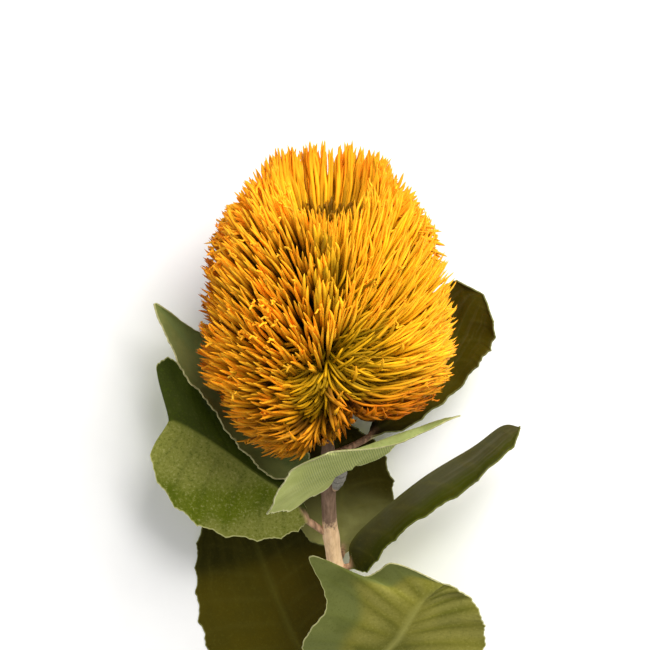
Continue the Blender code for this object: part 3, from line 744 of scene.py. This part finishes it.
def make_leaf(name, leaf, phase, materials):
    """One fine leaf: toothed, waved and veined, with a rib, a cut edge and its stalk."""
    turned = name == "leaf_6"  # its underside faces the viewer
    rough = RAGGED_CUT if name in ("leaf_1", "leaf_6") else RAGGED
    rows = leaf_rows(leaf, phase, rough, TOOTH_DEPTHS.get(name, TOOTH_DEPTH))
    columns = len(rows[0])
    grid = [[LAY_DOWN @ clear_of_head(cell[0]) for cell in row] for row in rows]
    last = len(rows) - 1
    top = []
    bottom = []
    values = {kind: [] for kind in ("across", "along", "stalk", "margin", "vein", "rib", "fold_light")}
    tilt_sum = 0.0
    for i, row in enumerate(grid):
        for j, point in enumerate(row):
            ahead = grid[min(i + 1, last)][j] - grid[max(i - 1, 0)][j]
            across = row[min(j + 1, columns - 1)] - row[max(j - 1, 0)]
            normal = across.cross(ahead).normalized()
            _, s, t, stalk, margin, vein, fold_light = rows[i][j]
            off_rib = (point - row[HALF_COLUMNS]).length
            rib = math.exp(-(off_rib / 0.8) ** 2) * (1.0 - t) ** 0.6
            rounding = math.sqrt(max(0.0, 1.0 - s * s))
            join = max(0.0, 1.0 - t / 0.06) if i >= STALK_ROWS else 1.0
            upper = BLADE_HALF * (1.0 - join) + (0.12 + 1.0 * rounding) * join - 0.08 * rib
            lower = upper + 0.55 * rib * (1.0 - join)
            if turned:
                upper, lower = lower, upper
            point.z = max(point.z, lower + 0.05)
            tilt_sum += normal.z
            top.append((point + normal * upper + SHIFT) * MM)
            bottom.append((point - normal * lower + SHIFT) * MM)
            for kind, value in zip(values, (s, t, stalk, margin, vein, rib, fold_light)):
                values[kind].append(value)
    lift = len(top)
    faces = []
    slots = []
    for i in range(last):
        for j in range(columns - 1):
            a = i * columns + j
            b, c, d = a + 1, a + columns + 1, a + columns
            faces += [(a, b, c, d), (d + lift, c + lift, b + lift, a + lift)]
            slots += [0, 1]
    edge = columns - 1
    rim = [(0, j) for j in range(edge)] + [(i, edge) for i in range(last)]
    rim += [(last, j) for j in range(edge, 0, -1)] + [(i, 0) for i in range(last, 0, -1)]
    rim = [i * columns + j for i, j in rim]
    for a, b in zip(rim, rim[1:] + rim[:1]):
        faces.append((b, a, a + lift, b + lift))
    slots += [2] * len(rim)
    values = {kind: numbers * 2 for kind, numbers in values.items()}
    if tilt_sum < 0.0 and not turned:
        materials = [materials[1], materials[0], materials[2]]
    piece = add_piece(f"{name}_fine", top + bottom, faces, materials, values, name, slots)
    piece.data.set_sharp_from_angle(angle=SHARP)


def tube(centres, radius_at, sides):
    """Laid points and faces of a closed tube, and each point's share of its length.

    radius_at(ring, angle) gives the tube's radius.
    """
    points = []
    faces = []
    rings = len(centres) - 1
    side = Vector((1.0, 0.0, 0.0))
    for i, centre in enumerate(centres):
        along = (centres[min(i + 1, rings)] - centres[max(i - 1, 0)]).normalized()
        side = (side - along * side.dot(along)).normalized()
        other = along.cross(side)
        for k in range(sides):
            angle = 2.0 * math.pi * k / sides
            arm = side * math.cos(angle) + other * math.sin(angle)
            point = LAY_DOWN @ (centre + arm * radius_at(i, angle)) + SHIFT
            points.append(Vector((point.x, point.y, max(point.z, LEAST_HEIGHT))) * MM)
            if i < rings:
                a = i * sides + k
                b = i * sides + (k + 1) % sides
                faces.append((b, a, a + sides, b + sides))
    last = rings * sides
    faces += [tuple(range(sides)), tuple(reversed(range(last, last + sides)))]
    return points, faces, [i / rings for i in range(rings + 1) for _ in range(sides)]


def make_stem(material):
    """The woody stem with furrowed bark, from the head's core to its cut end."""
    path = [seen(x, up, 0.0) for x, up in STEM_PATH]
    centres = [catmull(path, i / STEM_RINGS) for i in range(STEM_RINGS + 1)]
    centres[0].y = STEM_TOP

    def radius_at(i, angle):
        y = centres[i].y
        around = Vector((math.cos(angle) * 1.6, math.sin(angle) * 1.6, y * 0.07))
        furrow = 0.16 * noise.noise(around * 1.7) + 0.07 * noise.noise(around * Vector((4, 4, 9)))
        trim = 0.25 if i in (0, STEM_RINGS) else 0.0
        return stem_radius(y * math.cos(VIEW_RISE)) + furrow - 0.05 - trim

    points, faces, along = tube(centres, radius_at, STEM_SIDES)
    values = {"along": along, "cut": [float(share == 1.0) for share in along]}
    piece = add_piece("stem_fine", points, faces, [material], values, "stem")
    piece.data.set_sharp_from_angle(angle=SHARP)


def make_bud(material):
    """The bud: a pointed egg of overlapping scales."""
    foot, tip = bud_ends()
    seams = []

    def radius_at(i, angle):
        t = i / BUD_RINGS
        line = (5.0 * t + 0.22 * math.sin(2.0 * angle)) % 1.0
        seam = math.exp(-(line / 0.08) ** 2) if 0.15 < t < 0.95 else 0.0
        seams.append(seam)
        return bud_radius(t) + 0.16 * (1.0 - line) - 0.1 - 0.12 * seam

    centres = [foot.lerp(tip, i / BUD_RINGS) for i in range(BUD_RINGS + 1)]
    points, faces, along = tube(centres, radius_at, 32)
    add_piece("bud_fine", points, faces, [material], {"along": along, "seam": seams}, "bud")


def core_radius(y):
    """Radius of the head's core at the height y."""
    t = (y - CORE_LOW) / (CORE_TOP - CORE_LOW)
    bulge = math.sin(math.pi * min(1.0, max(0.0, t))) ** 0.6
    return CORE_END_RADIUS + (CORE_RADIUS - CORE_END_RADIUS) * bulge


def make_core(material):
    """The head's knobbly axis, with a low boss where each style stands."""
    step = (CORE_SHOWN - CORE_LOW) / CORE_RINGS
    centres = [on_axis(CORE_LOW + step * i, HEAD_SIDE) for i in range(CORE_RINGS + 1)]

    def radius_at(i, angle):
        y = centres[i].y
        boss = math.sin(angle * 14.0 + y * 0.9) * math.sin(angle * 14.0 - y * 0.9)
        return core_radius(y) + 0.5 * boss

    points, faces, _ = tube(centres, radius_at, 72)
    add_piece("head_core", points, faces, [material], {}, "flower_head")


def tip_heights(count):
    """Heights of the envelope that share its area evenly among the tips."""
    steps = 400
    heights = [HEAD_LOW + (HEAD_TOP - HEAD_LOW) * i / steps for i in range(steps + 1)]
    areas = [0.0]
    for y0, y1 in zip(heights, heights[1:]):
        r0 = head_radius(y0)
        r1 = head_radius(y1)
        areas.append(areas[-1] + (r0 + r1) * math.hypot(y1 - y0, r1 - r0))
    wanted = [(i + 0.5) / count * areas[-1] for i in range(count)]
    return np.interp(wanted, areas, heights)


def smooth(value, low, high):
    """0 below low, 1 above high, smooth between."""
    t = min(1.0, max(0.0, (value - low) / (high - low)))
    return t * t * (3.0 - 2.0 * t)


def low_edge(x):
    """Lowest place, in the front view, that a style's tip reaches at x."""
    return float(np.interp(x, *zip(*HEAD_LOW_EDGE)))


def style_guide(turn, y, draw):
    """Guide points of one style, whose tip stands at that turn and height of the envelope."""
    open_share = min(1.0, max(0.0, (PARTING_END - y) / (PARTING_END - PARTING_TOP)))
    opening = math.radians(PARTING) * open_share
    tip_turn = math.copysign(opening + abs(turn) * (1.0 - opening / math.pi), turn)
    front = math.cos(tip_turn)
    radius = head_radius(y) * (1.0 - 0.07 * draw.random() ** 2)
    low_share = (HEAD_TOP - y) / (HEAD_TOP - HEAD_LOW)
    y += HEAD_LIFT * max(0.0, math.sin(tip_turn)) * low_share ** 3
    drop = (1.0 - smooth(radius, *DROP_RADII)) * smooth(front, -0.5, 0.3)
    drop *= 1.0 - (1.0 - DROP_ASIDE) * smooth(abs(math.sin(tip_turn)) * radius, *DROP_SIDES)
    if y > HEAD_WIDEST:
        y = min(y - FRONT_DROP * drop, CROWN_TOP)
        radius = max(radius, CROWN_INNER)
    x = math.sin(tip_turn) * radius + HEAD_SIDE
    tip_up = y * math.cos(VIEW_RISE) - front * radius * math.sin(VIEW_RISE)
    y += max(0.0, low_edge(x) + draw.uniform(-1.0, 2.0) - tip_up) / math.cos(VIEW_RISE)
    tip = spoke(tip_turn) * radius + on_axis(y)

    combed = math.exp(-(tip_turn / 1.25) ** 2)
    root_turn = tip_turn * (1.0 - 0.66 * combed)
    eye_y = EYE_ROOT + (EYE_TIP - EYE_ROOT) * max(0.0, front)
    spread = 0.5 if y > eye_y else 0.45
    root_y = min(84.0, max(8.0, EYE_ROOT + (y - eye_y) * spread))
    outward = spoke(root_turn)
    root = outward * (core_radius(root_y) - 2.0) + on_axis(root_y)
    length = (tip - root).length

    normal = Vector((tip.x, (y - HEAD_WIDEST) * 0.55, tip.z)).normalized()
    eye = Vector((0.0, EYE_TIP, HEAD_RADIUS * 0.85))
    away = tip - eye
    away = (away - normal * away.dot(normal)).normalized()
    rise = smooth(y, 0.0, 22.0)
    facing = smooth(front, -0.5, 0.5)
    stand, comb, curl = (0.6, 0.8, 0.35) if turn > 0.0 else (1.3, 0.22, 0.2)
    end = normal * stand + away * (comb * facing) + on_axis(0.1 + curl * rise)
    end.normalize()
    start = (outward + on_axis((y - eye_y) / 80.0)).normalized()
    points = [root, root + start * (0.36 * length), tip - end * (0.42 * length), tip]

    low = 0.7 * smooth(-y, -32.0, -12.0) if turn < 0.0 else smooth(-y, -66.0, -40.0)
    over = low * smooth(front, -0.25, 0.25)
    arch = (5.0 + 0.28 * abs(tip.x)) * smooth(EYE_UP - tip_up, 0.0, 12.0)
    line_up = EYE_UP + (tip_up - EYE_UP) * 0.42 + arch
    line_up = max(LINE_LOW, min(LINE_TOP, line_up)) + draw.uniform(-10.0, 7.0)
    depth = HEAD_RADIUS * draw.uniform(0.6, 0.86)
    line = seen(math.copysign(1.6, tip_turn) + draw.uniform(-1.4, 1.4), line_up, depth)
    aside = 0.6 * smooth(abs(tip.x), 3.0, 16.0) * smooth(EYE_UP + 4.0 - tip_up, 0.0, 14.0)
    low_end = normal * 0.35 + away * (0.9 - 0.7 * aside)
    low_end += on_axis(0.12 * rise + 0.9 * aside, math.copysign(aside, tip.x))
    points[1] = points[1].lerp(line, over)
    points[2] = points[2].lerp(tip - low_end.normalized() * ((0.36 + 0.14 * aside) * length), over)
    return points, end, tip_turn, over


def eye_share(point):
    """How far a tip stands in the open zone, where the styles lie down and few tips stand up."""
    if point.z < 0.0:
        return 0.0
    share = 0.0
    for x, up, half_x, half_up in EYE_ZONES:
        off = math.hypot((point.x - x) / half_x, (seen_up(point) - up) / half_up)
        share = max(share, 1.0 - smooth(off, 0.75, 1.1))
    return share


class Strands:
    """Many tapered strands, gathered as numbers and built as one mesh."""

    def __init__(self):
        self.rows = []

    def add(self, points, girth, knob, span, tone, golden, deep_and_shaded, curl=(0.0, 0.0, 0.0)):
        flat = [number for point in points for number in point]
        self.rows.append([*flat, *curl, girth, knob, *span, tone, golden, deep_and_shaded])

    def build(self, name, material):
        stops = np.array(STYLE_STATIONS)
        rows = np.array(self.rows)
        count = len(rows)
        curve = rows[:, :12].reshape(count, 4, 3)
        curl = rows[:, None, 12:15]
        girth, knob, low, high, *looks = rows[:, 15:, None].transpose(1, 0, 2)
        draw = np.random.default_rng(SEED + count)
        u = stops[None, :, None]
        a, b, c, d = (curve[:, k, None, :] for k in range(4))
        centre = a * (1 - u) ** 3 + 3 * b * u * (1 - u) ** 2 + 3 * c * u ** 2 * (1 - u) + d * u ** 3
        slope = 3 * ((b - a) * (1 - u) ** 2 + 2 * (c - b) * u * (1 - u) + (d - c) * u ** 2)
        late = np.maximum(0.0, (u - CURL_START) / (1.0 - CURL_START))
        sway = draw.normal(0.0, SWAY, (count, 1, 3)) * np.sin(np.pi * WAVE_TURNS * u) * u
        bend = curl + draw.normal(0.0, NOD, (count, 1, 3))
        centre += sway + bend * late ** 2
        slope += bend * late * (2.0 / (1.0 - CURL_START))
        slope /= np.linalg.norm(slope, axis=2, keepdims=True)
        plane = np.cross(curve[:, 3] - curve[:, 0], curve[:, 1] - curve[:, 0] + (0.01, 0.02, 0.015))
        side = np.cross(slope, plane[:, None, :])
        side /= np.linalg.norm(side, axis=2, keepdims=True)
        other = np.cross(slope, side)
        taper = np.minimum(1.0, (1.0 - stops) / 0.11) ** 0.55 * (1.0 - 0.1 * stops)
        bulb = np.exp(-((stops - 0.87) / 0.06) ** 2)
        radius = girth * taper + knob * bulb
        angles = 2.0 * np.pi * np.arange(STYLE_SIDES)[:, None] / STYLE_SIDES
        ring = side[:, :, None] * np.cos(angles) + other[:, :, None] * np.sin(angles)
        points = centre[:, :, None, :] + ring * radius[:, :, None, None]
        points = points.reshape(count, len(stops) * STYLE_SIDES, 3)
        points = np.concatenate([points, curve[:, 3:4] + bend], axis=1)
        each = points.shape[1]
        laid = points.reshape(-1, 3) @ np.array(LAY_DOWN.to_3x3()).T
        laid += np.array(LAY_DOWN.translation) + np.array(SHIFT)
        under = laid[:, 2] < PRESSED_HEIGHT
        pressed = np.exp(laid[under, 2] - PRESSED_HEIGHT)
        laid[under, 2] = 0.02 + (PRESSED_HEIGHT - 0.02) * pressed
        around = [(k, (k + 1) % STYLE_SIDES) for k in range(STYLE_SIDES)]
        last = (len(stops) - 1) * STYLE_SIDES
        faces = []
        for foot in range(0, last, STYLE_SIDES):
            top = foot + STYLE_SIDES
            faces += [(foot + k, foot + n, top + n, top + k) for k, n in around]
        faces += [(last + k, last + n, each - 1) for k, n in around]
        every = [
            tuple(index + strand * each for index in face) for strand in range(count) for face in faces
        ]
        shares = np.concatenate([np.repeat(stops, STYLE_SIDES), [1.0]])
        values = {"along": (low + (high - low) * shares).ravel()}
        for kind, look in zip(("tone", "golden", "deep_and_shaded"), looks):
            values[kind] = np.repeat(look, each)
        return add_piece(name, laid * MM, every, [material], values, "flower_head")


def make_crown(material):
    """Long straight styles in a fan behind the hollow at the head's top, and short ones in it, darkened
    as painted shade of the hollow.
    """
    draw = random.Random(SEED + 1)
    crown = Strands()
    for _ in range(CROWN_COUNT):
        bundle = draw.randrange(CROWN_BUNDLES)
        middle = math.pi + 3.7 * ((bundle + 0.5) / CROWN_BUNDLES - 0.5)
        middle += 0.05 * math.sin(bundle * 5.1)
        turn = middle + draw.gauss(0.0, 0.03 if draw.random() < 0.8 else 0.1)
        foot_turn = middle + draw.gauss(0.0, 0.055)
        radius = CROWN_INNER + (CROWN_OUTER - CROWN_INNER) * draw.random() ** 1.3
        share = (1.0 - (radius / HEAD_RADIUS) ** 2) ** (1.0 / HEAD_POWER)
        ragged = 4.0 * (0.5 + 0.5 * math.sin(bundle * 2.4)) ** 2 + 2.0 * draw.random() ** 2
        ragged += min(7.0, 55.0 * abs(turn - middle))
        ragged += 3.0 * smooth(radius, 24.0, 29.0) * abs(math.cos(turn))
        raised = 2.0 * (1.0 - smooth(radius, 20.0, 27.0))
        y = min(HEAD_WIDEST + (HEAD_TOP - HEAD_WIDEST) * share + raised, CROWN_TOP) - ragged
        tip = spoke(turn) * radius + on_axis(y)
        foot = spoke(foot_turn) * 4.0 + on_axis(draw.uniform(66.0, 72.0))
        hollow = spoke(foot_turn) * (8.0 + 0.4 * radius) + on_axis(draw.uniform(76.0, 80.0))
        points = [foot, hollow, tip.lerp(hollow, 0.45) + scatter(draw, 0.4), tip]
        points = [p + on_axis(0.0, HEAD_SIDE) for p in points]
        girth = CROWN_GIRTH * draw.uniform(0.7, 1.3)
        crown.add(points, girth, 0.0, (0.62, 1.0), draw.random(), 0.6, 0.15)
    # Short styles in the hollow, dark from the root and mixed into the deep ramp: painted shade of the
    # hollow
    for _ in range(PIT_COUNT):
        turn = draw.uniform(-math.pi, math.pi)
        radius = 12.0 * math.sqrt(draw.random())
        foot = spoke(turn) * (0.5 * radius) + on_axis(66.0, HEAD_SIDE)
        tip = spoke(turn) * radius + on_axis(draw.uniform(80.0, 86.0), HEAD_SIDE)
        points = [foot, foot.lerp(tip, 0.33), foot.lerp(tip, 0.67), tip]
        crown.add(points, 0.6, 0.0, (0.1, 0.7), draw.random(), 0.2, 0.5)
    crown.build("styles_fan", material)


def gather(styles, count):
    """Draw the tips of neighbouring styles together, so that they stand in small tufts."""
    tips = np.array([style.points[3] for style in styles])
    centres = tips[::count]
    for style, tip in zip(styles, tips):
        nearest = centres[np.argmin(((centres - tip) ** 2).sum(axis=1))]
        pull = Vector(nearest - tip) * style.pull
        style.points[2] += pull * 0.6
        style.points[3] += pull


def grow_style(turn, y, draw):
    """One style with its tip at that turn and height of the envelope, or None where none grows."""
    coarse = turn < 0.0
    points, end, turn, over = style_guide(turn, y, draw)
    front = math.cos(turn)
    in_eye = eye_share(points[3])
    thinned = 1.0 - COARSE_KEPT if coarse else 0.35 * smooth(-front, -0.1, 0.4)
    if draw.random() < max(thinned, EYE_CLEARED * in_eye):
        return None
    points[2] += scatter(draw) * (1.0 if coarse else 2.2)
    isolated = in_eye > 0.3
    if isolated:
        aim = Vector((draw.uniform(-0.25, 0.25), draw.uniform(0.8, 1.1), draw.uniform(0.2, 0.5)))
        points[2] = points[3] - aim * 8.0
        points[1] = points[0].lerp(points[2], 0.6)
    if front < 0.1 and y > CORE_TOP - 6.0:
        return None
    hanging = over > 0.5 and abs(turn) < 1.0 and y < 24.0
    knobbed = isolated or (hanging and draw.random() < 0.6)
    pull = 0.0 if isolated or hanging or coarse else draw.uniform(0.15, 0.5)
    behind = front < (0.3 if coarse and y > 30.0 else 0.0)
    if behind:
        pull = draw.uniform(0.45, 0.75)
    return SimpleNamespace(
        points=[p + on_axis(0.0, HEAD_SIDE) for p in points], end=end, turn=turn, y=y, front=front,
        coarse=coarse, over=over, knobbed=knobbed, pull=pull, behind=behind,
    )


def add_style(style, group, draw):
    """Give one style its girth, colours and curl, and split a few tips."""
    girth = (COARSE_RADIUS if style.coarse else FINE_RADIUS) * draw.uniform(0.85, 1.15)
    if style.over > 0.5:
        girth *= 0.8 if style.coarse else 1.1
    tip = style.points[3]
    up = seen_up(tip)
    # Deep and shaded: at the back left partly a deeper tone and partly painted shade; low on the head
    # and at its lower right, painted shade
    deep_and_shaded = smooth(-style.turn, 1.15, 1.6) * (1.0 - 0.6 * smooth(style.y, 65.0, 90.0))
    deep_and_shaded += 0.65 * (1.0 - smooth(up, 0.0, 20.0))
    deep_and_shaded += 0.95 * smooth(tip.x, 0.0, 12.0) * (1.0 - smooth(up, 10.0, 28.0))
    looks = (draw.random(), smooth(style.turn, -0.1, 0.5), min(1.0, deep_and_shaded))
    curl = CURL_HEIGHT * smooth(style.front, -0.1, 0.5) * smooth(up, -3.0, 15.0)
    curl *= (1.0 if style.coarse else 0.35) * (1.0 - smooth(style.y, 55.0, 80.0))
    aside = 0.45 * curl * smooth(-style.turn, 0.2, 0.9)
    curl = Vector((aside, curl * draw.uniform(0.5, 1.4), 0.4 * curl))
    if style.front > 0.2 and up < HOOKED_UP:
        curl += scatter(draw, HOOKED_BEND)
    knob = 0.35 * girth if style.knobbed else 0.0
    group.add(style.points, girth, knob, (-0.12 * style.over, 1.0), *looks, curl)
    if draw.random() < (0.1 if style.coarse else 0.05):
        for _ in range(draw.choice((1, 2))):
            sideways = scatter(draw)
            sideways = (sideways - style.end * sideways.dot(style.end)).normalized()
            aim = (style.end + sideways * 0.7).normalized()
            foot = tip + curl - style.end * 2.6
            reach = draw.uniform(2.2, 3.0)
            prong = [foot + aim * (reach * k / 3.0) for k in range(4)]
            group.add(prong, 0.62 * girth, 0.0, (0.86, 0.98), *looks)


def make_styles(material):
    """All the styles, in one piece for each side of the head."""
    draw = random.Random(SEED)
    golden_angle = math.pi * (3.0 - math.sqrt(5.0))
    near = []
    rear = []
    for index, y in enumerate(tip_heights(STYLE_COUNT)):
        turn = (index * golden_angle + math.pi) % (2.0 * math.pi) - math.pi
        turn += draw.uniform(-0.07, 0.07)
        style = grow_style(turn, y + draw.uniform(-1.4, 1.4), draw)
        if style:
            (rear if style.behind else near).append(style)
    gather(near, 4)
    gather(rear, 9)
    groups = {name: Strands() for name in ("left", "right", "back", "crown")}
    for style in near + rear:
        side = "back" if abs(style.turn) > 1.9 else "left" if style.coarse else "right"
        add_style(style, groups["crown" if style.y > CORE_SHOWN else side], draw)
    add_inner(groups["right"], draw)
    for name, group in groups.items():
        group.build(f"styles_{name}", material)


def add_inner(group, draw):
    """Shorter olive styles that close the open zone, the parting's own, and a few hooked ones."""
    for _ in range(FILL_COUNT):
        right = draw.random() < 0.62
        angle = math.radians(draw.uniform(-95.0, 66.0) if right else draw.uniform(180.0, 265.0))
        start_up = EYE_UP + 2.0 + max(0.0, math.sin(angle)) * 12.0 + draw.uniform(-13.0, 9.0)
        span = draw.uniform(13.0, 27.0)
        x = HEAD_SIDE + math.cos(angle) * span
        up = start_up + math.sin(angle) * span * 0.7
        reach = math.hypot(x - HEAD_SIDE, 8.0) / HEAD_RADIUS
        front = HEAD_RADIUS * math.sqrt(max(0.05, 1.0 - reach ** 2)) * draw.uniform(0.74, 0.86)
        front -= max(0.0, 16.0 - up) * 0.7
        root = seen(HEAD_SIDE, start_up, 9.0)
        rise = seen(HEAD_SIDE + draw.uniform(-2.0, 2.0), start_up, HEAD_RADIUS * draw.uniform(0.6, 0.85))
        up = max(up, low_edge(x) + 3.0)
        tip = seen(x, up, front)
        hang = max(0.0, -math.sin(angle))
        bow = seen(HEAD_SIDE + (x - HEAD_SIDE) * (0.6 - 0.4 * hang),
                   start_up + (up - start_up) * (0.5 + 0.5 * hang), front + 2.0)
        group.add([root, rise, bow, tip], 0.46, 0.0, (0.26, 0.68), draw.random(), 0.9, 0.0)
    for _ in range(PARTING_COUNT):
        start_up = EYE_UP + draw.uniform(6.0, 30.0)
        span = draw.uniform(13.0, 22.0)
        x = HEAD_SIDE + draw.gauss(0.0, 2.4)
        front = HEAD_RADIUS * draw.uniform(0.86, 0.94) - max(0.0, start_up - 34.0) * 0.3
        root = seen(HEAD_SIDE, start_up, 9.0)
        rise = seen(x, start_up + 0.2 * span, front - 3.0)
        bow = seen(x + draw.uniform(-1.5, 1.5), start_up + 0.6 * span, front)
        tip = seen(x + draw.uniform(-1.5, 1.5), start_up + span, front + 1.0)
        tone = draw.random()
        group.add([root, rise, bow, tip], 0.56, 0.1, (0.2, draw.uniform(0.8, 1.0)), tone, 0.5, 0.0)
    # hooked styles low on the head, with the deeper tone and painted shade of the low styles
    for k, hook in enumerate(HOOKS):
        points = [seen(x, up, 27.0 - 2.0 * i - k) for i, (x, up) in enumerate(hook)]
        group.add(points, 0.4, 0.2, (0.55, 1.0), 0.5, 0.3, 0.7)


def make_leaves():
    """Every leaf with its own upper face; undersides and edges are alike."""
    under = under_material()
    pale = edge_material("edge_look", PALE_EDGE)
    dim = edge_material("dim_edge_look", DIM_EDGE)
    for number, (name, leaf) in enumerate(LEAVES.items()):
        edge = dim if name in DIM_EDGED else pale
        upper = upper_material(f"{name}_look", {**LOOK, **LEAF_LOOKS[name]})
        faces = [under, upper, edge] if name == "leaf_6" else [upper, under, edge]
        make_leaf(name, leaf, 1.7 * number, faces)


def make_floor():
    """A plain pale table top."""
    g = Graph("floor_look")
    grain = g.noise(60.0, 3.0)
    colour = g.ramp(grain, [(0.3, (0.92, 0.92, 0.92)), (0.7, (0.95, 0.95, 0.95))])
    half = 3.0
    mesh = bpy.data.meshes.new("floor")
    corners = [(-half, -half, 0.0), (half, -half, 0.0), (half, half, 0.0), (-half, half, 0.0)]
    mesh.from_pydata(corners, [], [(0, 1, 2, 3)])
    mesh.materials.append(g.finish(colour, 0.9))
    floor = add_object("floor", mesh)


def add_light(name, place, size, power, colour=(1.0, 1.0, 1.0)):
    """A soft area light that looks at the sprig."""
    lamp = bpy.data.lights.new(name, "AREA")
    lamp.size = size
    lamp.energy = power
    lamp.color = colour
    light = add_object(name, lamp)
    light.location = place
    light.rotation_euler = Vector(place).to_track_quat("Z", "Y").to_euler()


def make_world():
    """Soft studio light: a key from the upper right, a weak fill and a pale surround."""
    add_light("key", (0.4, 0.68, 0.8), 0.7, 18.0, (1.0, 0.98, 0.95))
    add_light("fill", (-0.7, 0.1, 1.0), 0.9, 2.5)
    world = bpy.data.worlds.new("surround")
    world.use_nodes = True
    background = world.node_tree.nodes["Background"]
    background.inputs["Color"].default_value = (1.0, 1.0, 1.0, 1.0)
    background.inputs["Strength"].default_value = 0.38
    bpy.context.scene.world = world
    bpy.context.scene.view_settings.view_transform = "Standard"


def make_camera():
    """The photograph's view, looking down on the lying sprig."""
    rise = VIEW_RISE - TILT
    target = (LAY_DOWN @ seen(*VIEW_CENTRE) + SHIFT) * MM
    back = Vector((0.0, math.sin(rise), math.cos(rise)))
    up = Vector((0.0, math.cos(rise), -math.sin(rise)))
    right = up.cross(back)
    data = bpy.data.cameras.new("view")
    data.sensor_width = SENSOR
    data.lens = SENSOR * VIEW_DISTANCE / VIEW_WIDTH
    data.clip_end = 20.0
    camera = add_object("view", data)
    turn = Matrix((right, up, back)).transposed().to_4x4()
    camera.matrix_world = Matrix.Translation(target + back * VIEW_DISTANCE * MM) @ turn
    bpy.context.scene.camera = camera


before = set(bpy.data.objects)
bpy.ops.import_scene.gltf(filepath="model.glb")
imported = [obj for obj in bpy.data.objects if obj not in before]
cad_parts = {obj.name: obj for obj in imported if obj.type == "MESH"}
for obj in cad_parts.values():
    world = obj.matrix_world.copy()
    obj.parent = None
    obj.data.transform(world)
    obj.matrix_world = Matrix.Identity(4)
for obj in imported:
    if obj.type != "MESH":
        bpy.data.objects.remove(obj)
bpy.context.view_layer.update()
SHIFT = table_shift()
make_camera()
make_world()
make_floor()
make_stem(bark_material())
make_bud(bud_material())
make_leaves()
make_core(core_material())
style_look = style_material()
make_styles(style_look)
make_crown(style_look)
